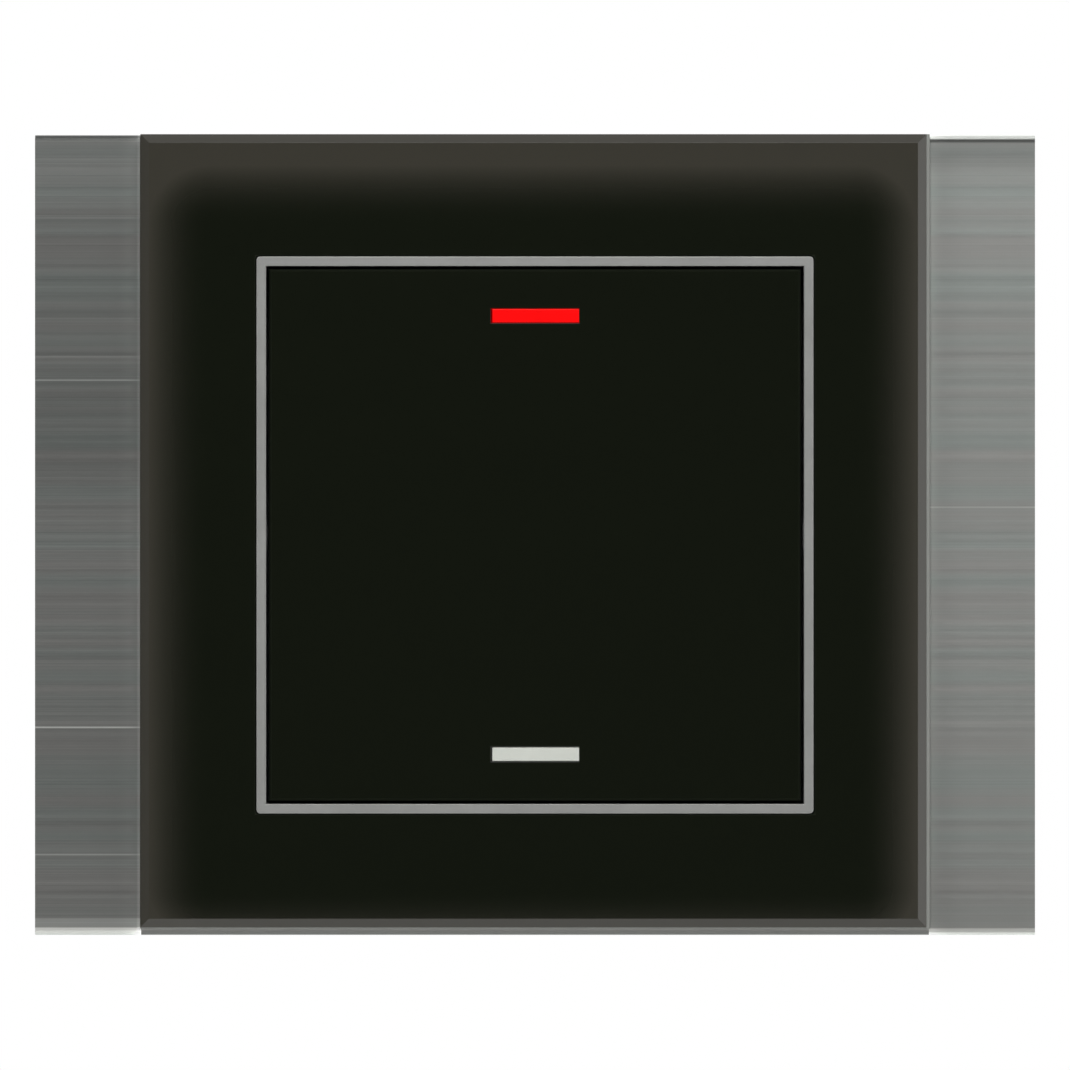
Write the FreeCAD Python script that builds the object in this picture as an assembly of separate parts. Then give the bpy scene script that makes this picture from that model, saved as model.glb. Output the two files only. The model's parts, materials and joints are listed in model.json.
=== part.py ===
import FreeCAD
import Part
import math
import os

# Black glass push-button light switch on a metal base with two side wings.
# X points right, Z up, and the viewer stands on the -Y side.
# The wall is the plane y = 0, and the origin is the middle of the mounting bracket's rear face.
# All sizes are in millimetres.

# Metal base and cover glass
BASE_WIDTH = 107.5
BASE_HEIGHT = 86.0
BASE_WALL = 1.6
BASE_EDGE_ROUNDING = 0.6
PROJECTION = 11.0
GLASS_WIDTH = 84.7
GLASS_THICKNESS = 4.0
GLASS_BEVEL = 0.95
GLASS_ARRIS = 0.2
LIP_HEIGHT = 0.75
RECESS_DEPTH = 0.8
RECESS_CLEARANCE = 0.1
TAPE_THICKNESS = 0.6
TAPE_INSET = 1.2
TAPE_FLANGE_GAP = 0.5
LIP_GAP = 0.05
PRY_NOTCH_WIDTH = 8.0
PRY_NOTCH_DEPTH = 1.0

# Trim ring round the button
RING_OUTER = 59.9
RING_WALL = 1.05
RING_CORNER = 0.6
RING_GLASS_GAP = 0.1
FLANGE_REACH = 1.8
FLANGE_SEAT = 0.75
FLANGE_PLAY = 0.05

# Button: glass plate, bond layer and plastic carrier
BUTTON_GAP = 0.4
BUTTON_GLASS_THICKNESS = 3.0
BOND_THICKNESS = 0.3
BOND_INSET = 1.0
CARRIER_INSET = 0.3
CARRIER_CORNER = 1.0
CARRIER_PLATE = 1.2
SKIRT_DEPTH = 0.75
SKIRT_WALL = 1.2
RIB_WALL = 1.0
LONG_RIB_X = 9.0
CROSS_RIB_Z = 20.0

# Indicator bars
BAR_WIDTH = 9.4
BAR_HEIGHT = 1.54
BAR_Z = 23.5
BAR_PLAY = 0.05
BAR_FLANGE = 1.0
BAR_FLANGE_DEPTH = 0.9
FLANGE_POCKET_PLAY = 0.1

# Rocker movement
TILT_DEG = 2.2
TILT_STOP_PLAY = 0.07
PIVOT_LIFT = 0.3
PIN_RADIUS = 0.8
PIN_CLEARANCE = 0.05
EAR_RADIUS = 1.5
EAR_WIDTH = 1.6
EAR_RELIEF = 0.2
HUB_X = 17.6
HUB_RADIUS = 1.5
HUB_WIDTH = 3.6
HUB_SIDE_PLAY = 0.2
HUB_SLOT_PLAY = 0.25

# Plungers and their guides
PLUNGER_Z = 15.0
PAD_RADIUS = 3.5
PAD_HEIGHT = 0.9
PLUNGER_PLAY = 0.05
PLUNGER_RADIUS = 2.0
PLUNGER_DOME = 3.0
PLUNGER_GUIDE_CLEARANCE = 0.08
GUIDE_WALL = 1.3
COLLAR_RADIUS = 3.5
COLLAR_THICKNESS = 1.0
STOP_PLAY = 0.05
STUB_RADIUS = 1.3
STUB_LENGTH = 4.8
CLIP_RING_WALL = 1.3
CLIP_RING_THICKNESS = 0.6
CLIP_RING_MOUTH = 1.4

# Contacts
BRIDGE_WIDTH = 4.0
BRIDGE_THICKNESS = 0.6
BRIDGE_END = 0.3
BRIDGE_CORNER = 0.6
TIP_RADIUS = 1.2
MOVING_TIP_HEIGHT = 0.6
FIXED_TIP_HEIGHT = 0.5
CONTACT_CLEARANCE = 0.03
STRIP_THICKNESS = 0.6
STRIP_WIDTH = 3.0
STRIP_END = 1.5
LEG_WIDTH = 4.0
LEG_OVERLAP = 5.5
NEUTRAL_FOOT_WIDTH = 2.6
NEUTRAL_LINK_DEPTH = 1.5
SLOT_PLAY = 0.05

# Springs
SPRING_WIRE = 0.6
SPRING_MEAN_RADIUS = 2.1
SPRING_LENGTH = 7.6
SPRING_TURNS = 6

# Contact base
CONTACT_BASE_THICKNESS = 2.0
CONTACT_BASE_PLAY = 1.1
CONTACT_BASE_CUT = 5.0
SPRING_CUP_PLAY = 0.65
SPRING_CUP_WALL = 1.2
SPRING_CUP_FLOOR = 1.0

# Mounting bracket
BRACKET_SIZE = 71.0
BRACKET_THICKNESS = 1.2
BRACKET_CORNER = 2.0
BRACKET_WINDOW_SIDE_GAP = 1.1
BRACKET_WINDOW_END_GAP = 1.7
BRACKET_WINDOW_CORNER = 3.0
BOX_SCREW_SPACING = 60.0
BOX_SLOT_RADIUS = 1.9
BOX_SLOT_LENGTH = 7.0
BOX_SLOT_MARGIN = 1.0

# Snap clips between cover and bracket
CLIP_PLATE = 1.4
CLIP_LIP = 0.7
CLIP_LIP_PLAY = 0.15
CLIP_ARM_WALL = 1.5
CLIP_ARM_WIDTH = 5.0
CLIP_ARM_GAP = 0.2
CLIP_ARM_Z = 20.0
CLIP_NUB_REACH = 0.7
CLIP_NUB_PLAY = 0.15
TAB_WIDTH = 8.0
TAB_GAP = 0.1
TAB_SLOT_WIDTH = 3.6
TAB_SLOT_HEIGHT = 1.0
CLIP_SCREW_SETBACK = 3.2
CLIP_SCREW_RADIUS = 1.0
CLIP_SCREW_DEPTH = 1.1
CLIP_SCREW_HEAD_RADIUS = 1.9
CLIP_SCREW_HEAD = 1.2

# Insert tray, light board and its parts
TRAY_WALL = 1.5
TRAY_FACE_WALL = 1.0
TRAY_CORNER = 2.5
TRAY_WINDOW_MARGIN = 3.0
BOARD_THICKNESS = 0.8
BOARD_PLAY = 0.2
SHEET_THICKNESS = 0.2
LED_WIDTH = 3.5
LED_HEIGHT = 2.8
LED_DEPTH = 0.9
LED_LENS_RADIUS = 1.1
LED_LENS_DEPTH = 0.15
LED_WINDOW_WIDTH = 10.0
LED_WINDOW_HEIGHT = 2.6
RESISTOR_X = 7.6
RESISTOR_LENGTH = 3.2
RESISTOR_WIDTH = 1.6
RESISTOR_DEPTH = 0.6
RECTIFIER_WIDTH = 4.7
RECTIFIER_HEIGHT = 4.0
RECTIFIER_DEPTH = 1.2
RECTIFIER_LEG_REACH = 1.1
RECTIFIER_LEG_WIDTH = 0.6
RECTIFIER_LEG_THICKNESS = 0.3
RECTIFIER_LEG_Z = 1.2
BOARD_PIN_RADIUS = 0.4
BOARD_PIN_STICKOUT = 0.4
BOARD_PIN_CLEARANCE = 0.2
NEUTRAL_PIN_REACH = 2.5
NEUTRAL_PIN_DROP = 5.0

# Rear housing and its screws
HOUSING_SIZE = 44.0
HOUSING_WALL = 1.5
HOUSING_CORNER = 7.0
HOUSING_DEPTH = 22.0
REAR_COVER = 2.0
ASSEMBLY_SCREW_SETBACK = 5.0
ASSEMBLY_SCREW_RADIUS = 1.25
ASSEMBLY_SCREW_CLEARANCE = 0.15
ASSEMBLY_SCREW_BITE = 1.5
ASSEMBLY_HEAD_RADIUS = 2.4
ASSEMBLY_HEAD = 1.8
BOSS_WALL = 1.35
PILLAR_REACH = 4.5
PILLAR_WIDTH = 5.0
PILLAR_STEP = 2.5
PILLAR_PLAY = 0.2
COVER_SCREW_SETBACK = 2.3
COVER_SCREW_RADIUS = 0.9
COVER_SCREW_CLEARANCE = 0.2
COVER_SCREW_LENGTH = 8.0
COVER_HEAD_RADIUS = 1.9
COVER_HEAD = 1.2
COVER_HEAD_PLAY = 0.1

# Wire terminals
TERMINAL_SIDE_SETBACK = 8.5
TERMINAL_END_SETBACK = 7.5
TERMINAL_SIZE = 8.0
TERMINAL_DEPTH = 8.5
TERMINAL_ROUNDING = 0.4
TERMINAL_POST_INSET = 0.5
WIRE_HOLE_RADIUS = 1.7
WIRE_HOLE_DEPTH = 7.0
CLAMP_SCREW_SETBACK = 4.2
CLAMP_SCREW_RADIUS = 1.25
CLAMP_SCREW_CLEARANCE = 0.2
CLAMP_HEAD_RADIUS = 2.0
CLAMP_HEAD = 1.6
DRIVER_HOLE_PLAY = 0.3
DRIVER_SLOT_WIDTH = 0.5
DRIVER_SLOT_DEPTH = 0.5
DRIVER_CROSS_REACH = 1.1

# Levels of the cover, from the glass face back to the wall
FRONT_Y = -PROJECTION
GLASS_REAR_Y = FRONT_Y + GLASS_THICKNESS
FLOOR_Y = GLASS_REAR_Y + TAPE_THICKNESS
WING_Y = FLOOR_Y - RECESS_DEPTH
WING_REAR_Y = WING_Y + BASE_WALL
FLOOR_REAR_Y = FLOOR_Y + BASE_WALL
CLIP_PLATE_REAR_Y = FLOOR_REAR_Y + CLIP_PLATE
CLIP_LIP_Y = CLIP_PLATE_REAR_Y - CLIP_LIP

# Levels of the button
BUTTON_REAR_Y = FRONT_Y + BUTTON_GLASS_THICKNESS
BOND_REAR_Y = BUTTON_REAR_Y + BOND_THICKNESS
CARRIER_REAR_Y = BOND_REAR_Y + CARRIER_PLATE
SKIRT_REAR_Y = CARRIER_REAR_Y + SKIRT_DEPTH
PAD_Y = CARRIER_REAR_Y + PAD_HEIGHT

# Outline sizes seen from the front
BASE_TOP_Z = BASE_HEIGHT / 2
GLASS_BOTTOM_Z = LIP_HEIGHT - BASE_HEIGHT / 2
RING_HALF = RING_OUTER / 2
RING_INNER_HALF = RING_HALF - RING_WALL
FLANGE_HALF = RING_HALF + FLANGE_REACH
WINDOW_HALF = FLANGE_HALF - FLANGE_SEAT
RECESS_HALF = GLASS_WIDTH / 2 + RECESS_CLEARANCE
BUTTON_HALF = RING_INNER_HALF - BUTTON_GAP
CARRIER_HALF = BUTTON_HALF - CARRIER_INSET
CLIP_LIP_HALF = BUTTON_HALF + CLIP_LIP_PLAY
BRACKET_HALF = BRACKET_SIZE / 2
CLIP_FRAME_HALF = BRACKET_HALF + CLIP_ARM_GAP + CLIP_ARM_WALL
CLIP_SCREW_XZ = CLIP_FRAME_HALF - CLIP_SCREW_SETBACK
TRAY_HALF_X = BOX_SCREW_SPACING / 2 - BOX_SLOT_LENGTH / 2 - BOX_SLOT_MARGIN
TRAY_HALF_Z = WINDOW_HALF - TRAY_WINDOW_MARGIN
BOARD_HALF_X = TRAY_HALF_X - TRAY_WALL - BOARD_PLAY
BOARD_HALF_Z = TRAY_HALF_Z - TRAY_WALL - BOARD_PLAY
BOARD_CORNER = TRAY_CORNER - TRAY_WALL

# Levels of the fixed insert
TILT = math.radians(TILT_DEG)
TRAY_FACE_Y = SKIRT_REAR_Y + CARRIER_HALF * math.sin(TILT) + TILT_STOP_PLAY
PIVOT_Y = TRAY_FACE_Y - PIVOT_LIFT
BRACKET_FRONT_Y = -BRACKET_THICKNESS
SHEET_FRONT_Y = BRACKET_FRONT_Y - SHEET_THICKNESS
BOARD_FRONT_Y = SHEET_FRONT_Y - BOARD_THICKNESS
TAB_TOP_Y = CLIP_PLATE_REAR_Y + TAB_GAP
TAB_SLOT_Y = (TAB_TOP_Y + BRACKET_FRONT_Y) / 2

# Levels of the plungers and contacts
PLUNGER_TRAVEL = PLUNGER_Z * math.sin(TILT)
PLUNGER_TIP_Y = PAD_Y + PLUNGER_PLAY
COLLAR_Y = HOUSING_WALL + PLUNGER_TRAVEL + STOP_PLAY
BRIDGE_Y = COLLAR_Y + COLLAR_THICKNESS
BRIDGE_REAR_Y = BRIDGE_Y + BRIDGE_THICKNESS
MOVING_TIP_Y = BRIDGE_REAR_Y + MOVING_TIP_HEIGHT
FIXED_TIP_Y = MOVING_TIP_Y + PLUNGER_TRAVEL + CONTACT_CLEARANCE
STRIP_Y = FIXED_TIP_Y + FIXED_TIP_HEIGHT
CONTACT_BASE_Y = STRIP_Y + STRIP_THICKNESS
CONTACT_BASE_REAR_Y = CONTACT_BASE_Y + CONTACT_BASE_THICKNESS
SPRING_Y = BRIDGE_REAR_Y + CLIP_RING_THICKNESS
SPRING_SEAT_Y = SPRING_Y + SPRING_LENGTH

# Sizes of the rear housing
HOUSING_HALF = HOUSING_SIZE / 2
HOUSING_INNER_HALF = HOUSING_HALF - HOUSING_WALL
ASSEMBLY_SCREW_XZ = HOUSING_HALF - ASSEMBLY_SCREW_SETBACK
COVER_SCREW_X = HOUSING_INNER_HALF - COVER_SCREW_SETBACK
CONTACT_BASE_HALF = HOUSING_INNER_HALF - CONTACT_BASE_PLAY
COVER_REAR_Y = HOUSING_DEPTH + REAR_COVER
TERMINAL_FRONT_Y = HOUSING_DEPTH - TERMINAL_DEPTH
TERMINAL_X = HOUSING_INNER_HALF - TERMINAL_SIDE_SETBACK
TERMINAL_Z = HOUSING_INNER_HALF - TERMINAL_END_SETBACK
TERMINAL_INNER_X = TERMINAL_X - TERMINAL_SIZE / 2
TERMINAL_OUTER_Z = TERMINAL_Z + TERMINAL_SIZE / 2
CLAMP_SCREW_Y = HOUSING_DEPTH - CLAMP_SCREW_SETBACK
CONTACT_X = TERMINAL_INNER_X - STRIP_WIDTH / 2
NEUTRAL_PIN_X = TERMINAL_INNER_X + NEUTRAL_PIN_REACH
NEUTRAL_PIN_Z = TERMINAL_Z - NEUTRAL_PIN_DROP

SIDES = (-1, 1)
CORNERS = [(x, z) for x in SIDES for z in SIDES]


def slab(x0, x1, y0, y1, z0, z1, corner=0.0):
    """Block between the given planes, with the four edges along Y rounded."""
    block = Part.makeBox(x1 - x0, y1 - y0, z1 - z0, FreeCAD.Vector(x0, y0, z0))
    if corner <= 0:
        return block
    upright = [e for e in block.Edges if abs(e.tangentAt(0).y) > 0.5]
    return block.makeFillet(corner, upright)


def centred(half_x, half_z, y0, y1, corner=0.0):
    """Block centred on the Y axis."""
    return slab(-half_x, half_x, y0, y1, -half_z, half_z, corner)


def rod_x(y, z, radius, x0, x1):
    return Part.makeCylinder(radius, x1 - x0, FreeCAD.Vector(x0, y, z), FreeCAD.Vector(1, 0, 0))


def rod_y(x, z, radius, y0, y1):
    return Part.makeCylinder(radius, y1 - y0, FreeCAD.Vector(x, y0, z), FreeCAD.Vector(0, 1, 0))


def rod_z(x, y, radius, z0, z1):
    return Part.makeCylinder(radius, z1 - z0, FreeCAD.Vector(x, y, z0), FreeCAD.Vector(0, 0, 1))


def mirrored_span(side, span):
    """The span itself, or its mirror image where side is -1."""
    return sorted((side * span[0], side * span[1]))


def joined(first, others):
    return first.fuse(others).removeSplitter()


def edges_at_front(shape, y, reach):
    """Edges that lie in the plane y, no farther than reach from the Y axis."""
    found = []
    for edge in shape.Edges:
        box = edge.BoundBox
        flat = abs(box.YMin - y) < 1e-4 and abs(box.YMax - y) < 1e-4
        near = max(-box.XMin, box.XMax, -box.ZMin, box.ZMax) < reach
        if flat and near:
            found.append(edge)
    return found


def metal_frame():
    """Metal base: two side wings, a shallow recess for the glass and a skirt down to the wall."""
    half_x = BASE_WIDTH / 2
    body = centred(half_x, BASE_TOP_Z, WING_Y, 0)
    long_edges = [e for e in edges_at_front(body, WING_Y, BASE_WIDTH) if abs(e.tangentAt(0).x) > 0.5]
    body = body.makeFillet(min(BASE_EDGE_ROUNDING, 0.8 * LIP_HEIGHT), long_edges)
    inner_x = half_x - BASE_WALL
    inner_z = BASE_TOP_Z - BASE_WALL
    cuts = [centred(inner_x, inner_z, FLOOR_REAR_Y, 0)]
    for side in SIDES:
        near = side * (RECESS_HALF + BASE_WALL)
        far = side * inner_x
        cuts.append(slab(min(near, far), max(near, far), WING_REAR_Y, FLOOR_REAR_Y, -inner_z, inner_z))
    recess_bottom = GLASS_BOTTOM_Z - LIP_GAP
    cuts.append(slab(-RECESS_HALF, RECESS_HALF, WING_Y, FLOOR_Y, recess_bottom, BASE_TOP_Z))
    cuts.append(centred(WINDOW_HALF, WINDOW_HALF, FLOOR_Y, FLOOR_REAR_Y))
    for x, z in CORNERS:
        start = FLOOR_REAR_Y - CLIP_SCREW_DEPTH
        cuts.append(rod_y(x * CLIP_SCREW_XZ, z * CLIP_SCREW_XZ, CLIP_SCREW_RADIUS, start, FLOOR_REAR_Y))
    notch = PRY_NOTCH_WIDTH / 2
    cuts.append(slab(-notch, notch, -PRY_NOTCH_DEPTH, 0, -BASE_TOP_Z, -inner_z))
    return body.cut(cuts)


def glass_frame_plate():
    """Square black glass plate with bevelled outer edges and a window for the button."""
    half_x = GLASS_WIDTH / 2
    plate = slab(-half_x, half_x, FRONT_Y, GLASS_REAR_Y, GLASS_BOTTOM_Z, BASE_TOP_Z)
    plate = plate.makeChamfer(GLASS_BEVEL, edges_at_front(plate, FRONT_Y, BASE_HEIGHT))
    half = RING_HALF + RING_GLASS_GAP
    plate = plate.cut(centred(half, half, FRONT_Y, GLASS_REAR_Y, RING_CORNER + RING_GLASS_GAP))
    return plate.makeChamfer(GLASS_ARRIS, edges_at_front(plate, FRONT_Y, half + 0.01))


def glass_bond_tape():
    """Closed frame of foam tape that bonds the glass plate to the recess floor."""
    half_x = GLASS_WIDTH / 2 - TAPE_INSET
    low = GLASS_BOTTOM_Z + TAPE_INSET
    sheet = slab(-half_x, half_x, GLASS_REAR_Y, FLOOR_Y, low, BASE_TOP_Z - TAPE_INSET)
    half = FLANGE_HALF + TAPE_FLANGE_GAP
    return sheet.cut(centred(half, half, GLASS_REAR_Y, FLOOR_Y, RING_CORNER + FLANGE_REACH))


def trim_ring():
    """Metal ring flush with the glass, its rear flange held between glass and recess floor."""
    tube = centred(RING_HALF, RING_HALF, FRONT_Y, FLOOR_Y, RING_CORNER)
    flange_y = GLASS_REAR_Y + FLANGE_PLAY
    flange = centred(FLANGE_HALF, FLANGE_HALF, flange_y, FLOOR_Y, RING_CORNER + FLANGE_REACH)
    ring = joined(tube, [flange])
    return ring.cut(centred(RING_INNER_HALF, RING_INNER_HALF, FRONT_Y, FLOOR_Y))


def clip_frame():
    """Plastic frame behind the metal base with four snap arms for the bracket's tabs.

    Its inner lip closes the slit round the button, and just lets the button through.
    """
    plate = centred(CLIP_FRAME_HALF, CLIP_FRAME_HALF, FLOOR_REAR_Y, CLIP_PLATE_REAR_Y)
    arms = []
    for x, z in CORNERS:
        inner = BRACKET_HALF + CLIP_ARM_GAP
        mid = z * CLIP_ARM_Z
        half = CLIP_ARM_WIDTH / 2
        x0, x1 = mirrored_span(x, (inner, CLIP_FRAME_HALF))
        arms.append(slab(x0, x1, CLIP_PLATE_REAR_Y, BRACKET_FRONT_Y / 2, mid - half, mid + half))
        half = TAB_SLOT_WIDTH / 2 - CLIP_NUB_PLAY
        rise = TAB_SLOT_HEIGHT / 2 - CLIP_NUB_PLAY
        x0, x1 = mirrored_span(x, (inner - CLIP_NUB_REACH, CLIP_FRAME_HALF))
        arms.append(slab(x0, x1, TAB_SLOT_Y - rise, TAB_SLOT_Y + rise, mid - half, mid + half))
    frame = joined(plate, arms)
    cuts = [centred(WINDOW_HALF, WINDOW_HALF, FLOOR_REAR_Y, CLIP_LIP_Y)]
    cuts.append(centred(CLIP_LIP_HALF, CLIP_LIP_HALF, CLIP_LIP_Y, CLIP_PLATE_REAR_Y))
    for x, z in CORNERS:
        radius = CLIP_SCREW_RADIUS + CLIP_NUB_PLAY
        cuts.append(rod_y(x * CLIP_SCREW_XZ, z * CLIP_SCREW_XZ, radius, FLOOR_REAR_Y, CLIP_PLATE_REAR_Y))
    return frame.cut(cuts)


def clip_frame_screws():
    """Four short screws that hold the clip frame to the metal base."""
    screws = []
    for x, z in CORNERS:
        px = x * CLIP_SCREW_XZ
        pz = z * CLIP_SCREW_XZ
        shank = rod_y(px, pz, CLIP_SCREW_RADIUS, FLOOR_REAR_Y - CLIP_SCREW_DEPTH, CLIP_PLATE_REAR_Y)
        head_rear = CLIP_PLATE_REAR_Y + CLIP_SCREW_HEAD
        head = rod_y(px, pz, CLIP_SCREW_HEAD_RADIUS, CLIP_PLATE_REAR_Y, head_rear)
        screws.append(driver_cross(joined(shank, [head]), px, pz, head_rear))
    return Part.makeCompound(screws)


def driver_cross(screw, x, z, head_rear):
    """Cross recess in a screw head that faces away from the viewer."""
    half = DRIVER_SLOT_WIDTH / 2
    front = head_rear - DRIVER_SLOT_DEPTH
    reach = DRIVER_CROSS_REACH
    cross = [slab(x - reach, x + reach, front, head_rear, z - half, z + half)]
    cross.append(slab(x - half, x + half, front, head_rear, z - reach, z + reach))
    return screw.cut(cross)


def support_bracket():
    """Steel plate with slots for the wall box screws and bent tabs for the cover's clips."""
    plate = centred(BRACKET_HALF, BRACKET_HALF, BRACKET_FRONT_Y, 0, BRACKET_CORNER)
    tabs = []
    for x, z in CORNERS:
        x0, x1 = mirrored_span(x, (BRACKET_HALF - BRACKET_THICKNESS, BRACKET_HALF))
        mid = z * CLIP_ARM_Z
        half = TAB_WIDTH / 2
        tab = slab(x0, x1, TAB_TOP_Y, BRACKET_FRONT_Y, mid - half, mid + half)
        half = TAB_SLOT_WIDTH / 2
        rise = TAB_SLOT_HEIGHT / 2
        tabs.append(tab.cut(slab(x0, x1, TAB_SLOT_Y - rise, TAB_SLOT_Y + rise, mid - half, mid + half)))
    plate = joined(plate, tabs)
    half_x = NEUTRAL_PIN_X + BOARD_PIN_RADIUS + BRACKET_WINDOW_SIDE_GAP
    half_z = PLUNGER_Z + PLUNGER_RADIUS + GUIDE_WALL + BRACKET_WINDOW_END_GAP
    cuts = [centred(half_x, half_z, BRACKET_FRONT_Y, 0, BRACKET_WINDOW_CORNER)]
    for side in SIDES:
        mid = side * BOX_SCREW_SPACING / 2
        run = BOX_SLOT_LENGTH / 2 - BOX_SLOT_RADIUS
        slot = slab(mid - run, mid + run, BRACKET_FRONT_Y, 0, -BOX_SLOT_RADIUS, BOX_SLOT_RADIUS)
        ends = [rod_y(mid + end * run, 0, BOX_SLOT_RADIUS, BRACKET_FRONT_Y, 0) for end in SIDES]
        cuts.append(joined(slot, ends))
    cuts += assembly_holes(BRACKET_FRONT_Y, 0)
    return plate.cut(cuts)


def assembly_holes(y0, y1):
    """Clearance holes for the four screws that hold the insert together."""
    radius = ASSEMBLY_SCREW_RADIUS + ASSEMBLY_SCREW_CLEARANCE
    at = ASSEMBLY_SCREW_XZ
    return [rod_y(x * at, z * at, radius, y0, y1) for x, z in CORNERS]


def guide_holes(radius, y0, y1):
    return [rod_y(0, side * PLUNGER_Z, radius, y0, y1) for side in SIDES]


def pin_holes(radius, y0, y1):
    """Holes for the live and the neutral pin of the light board."""
    live = rod_y(-CONTACT_X, 0, radius, y0, y1)
    neutral = rod_y(-NEUTRAL_PIN_X, -NEUTRAL_PIN_Z, radius, y0, y1)
    return [live, neutral]


def insulating_sheet():
    """Thin film between the light board and the steel bracket."""
    sheet = centred(BOARD_HALF_X, BOARD_HALF_Z, SHEET_FRONT_Y, BRACKET_FRONT_Y, BOARD_CORNER)
    cuts = assembly_holes(SHEET_FRONT_Y, BRACKET_FRONT_Y)
    cuts += guide_holes(PLUNGER_RADIUS + GUIDE_WALL + BOARD_PLAY, SHEET_FRONT_Y, BRACKET_FRONT_Y)
    cuts += pin_holes(BOARD_PIN_RADIUS + BOARD_PIN_CLEARANCE, SHEET_FRONT_Y, BRACKET_FRONT_Y)
    return sheet.cut(cuts)


def assembly_screws():
    """Four screws from the rear housing through the bracket into the tray."""
    screws = []
    tip = BOARD_FRONT_Y - ASSEMBLY_SCREW_BITE
    head_rear = HOUSING_WALL + ASSEMBLY_HEAD
    for x, z in CORNERS:
        px = x * ASSEMBLY_SCREW_XZ
        pz = z * ASSEMBLY_SCREW_XZ
        shank = rod_y(px, pz, ASSEMBLY_SCREW_RADIUS, tip, HOUSING_WALL)
        head = rod_y(px, pz, ASSEMBLY_HEAD_RADIUS, HOUSING_WALL, head_rear)
        screws.append(driver_cross(joined(shank, [head]), px, pz, head_rear))
    return Part.makeCompound(screws)


def ear_spans():
    """X spans of the two ears on each side of every button hub."""
    inner = HUB_X - HUB_WIDTH / 2 - HUB_SIDE_PLAY
    outer = HUB_X + HUB_WIDTH / 2 + HUB_SIDE_PLAY
    return [(inner - EAR_WIDTH, inner), (outer, outer + EAR_WIDTH)]


def insert_tray():
    """Plastic tray that carries the button's bearings, the plunger guides and the light board."""
    back = BRACKET_FRONT_Y
    inner_face = TRAY_FACE_Y + TRAY_FACE_WALL
    tray = centred(TRAY_HALF_X, TRAY_HALF_Z, TRAY_FACE_Y, back, TRAY_CORNER)
    hollow_x = TRAY_HALF_X - TRAY_WALL
    hollow_z = TRAY_HALF_Z - TRAY_WALL
    tray = tray.cut(centred(hollow_x, hollow_z, inner_face, back, TRAY_CORNER - TRAY_WALL))
    added = []
    boss = ASSEMBLY_SCREW_RADIUS + BOSS_WALL
    for x, z in CORNERS:
        added.append(rod_y(x * ASSEMBLY_SCREW_XZ, z * ASSEMBLY_SCREW_XZ, boss, inner_face, BOARD_FRONT_Y))
    added += guide_holes(PLUNGER_RADIUS + GUIDE_WALL, inner_face, back)
    for side in SIDES:
        for span in ear_spans():
            x0, x1 = mirrored_span(side, span)
            added.append(slab(x0, x1, PIVOT_Y, TRAY_FACE_Y, -EAR_RADIUS, EAR_RADIUS))
            added.append(rod_x(PIVOT_Y, 0, EAR_RADIUS, x0, x1))
    tray = joined(tray, added)
    cuts = guide_holes(PLUNGER_RADIUS + PLUNGER_GUIDE_CLEARANCE, TRAY_FACE_Y, back)
    tip = BOARD_FRONT_Y - ASSEMBLY_SCREW_BITE
    for x, z in CORNERS:
        px = x * ASSEMBLY_SCREW_XZ
        cuts.append(rod_y(px, z * ASSEMBLY_SCREW_XZ, ASSEMBLY_SCREW_RADIUS, tip, BOARD_FRONT_Y))
    for side in SIDES:
        half = LED_WINDOW_HEIGHT / 2
        mid = side * BAR_Z
        half_x = LED_WINDOW_WIDTH / 2
        cuts.append(slab(-half_x, half_x, TRAY_FACE_Y, inner_face, mid - half, mid + half))
        half_x = HUB_WIDTH / 2 + HUB_SIDE_PLAY
        half = HUB_RADIUS + HUB_SLOT_PLAY
        mid = side * HUB_X
        cuts.append(slab(mid - half_x, mid + half_x, TRAY_FACE_Y, inner_face, -half, half))
        for span in ear_spans():
            x0, x1 = mirrored_span(side, span)
            cuts.append(rod_x(PIVOT_Y, 0, PIN_RADIUS, x0, x1))
    return tray.cut(cuts)


def pivot_pin(side):
    """Steel pin through the two ears and the hub of one side."""
    spans = ear_spans()
    x0, x1 = mirrored_span(side, (spans[0][0], spans[1][1]))
    return rod_x(PIVOT_Y, 0, PIN_RADIUS, x0, x1)


def led_board():
    """Circuit board between the tray bosses and the insulating sheet."""
    board = centred(BOARD_HALF_X, BOARD_HALF_Z, BOARD_FRONT_Y, SHEET_FRONT_Y, BOARD_CORNER)
    cuts = assembly_holes(BOARD_FRONT_Y, SHEET_FRONT_Y)
    cuts += guide_holes(PLUNGER_RADIUS + GUIDE_WALL + BOARD_PLAY, BOARD_FRONT_Y, SHEET_FRONT_Y)
    cuts += pin_holes(BOARD_PIN_RADIUS, BOARD_FRONT_Y, SHEET_FRONT_Y)
    return board.cut(cuts)


def led(side):
    """Surface-mounted lamp behind one indicator bar."""
    mid = side * BAR_Z
    half_x = LED_WIDTH / 2
    half_z = LED_HEIGHT / 2
    front = BOARD_FRONT_Y - LED_DEPTH
    case = slab(-half_x, half_x, front, BOARD_FRONT_Y, mid - half_z, mid + half_z)
    return joined(case, [rod_y(0, mid, LED_LENS_RADIUS, front - LED_LENS_DEPTH, front)])


def led_resistors():
    """Four small resistors, one on each side of each lamp."""
    chips = []
    half_x = RESISTOR_LENGTH / 2
    half_z = RESISTOR_WIDTH / 2
    front = BOARD_FRONT_Y - RESISTOR_DEPTH
    for x, z in CORNERS:
        px = x * RESISTOR_X
        pz = z * BAR_Z
        chips.append(slab(px - half_x, px + half_x, front, BOARD_FRONT_Y, pz - half_z, pz + half_z))
    return Part.makeCompound(chips)


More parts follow.
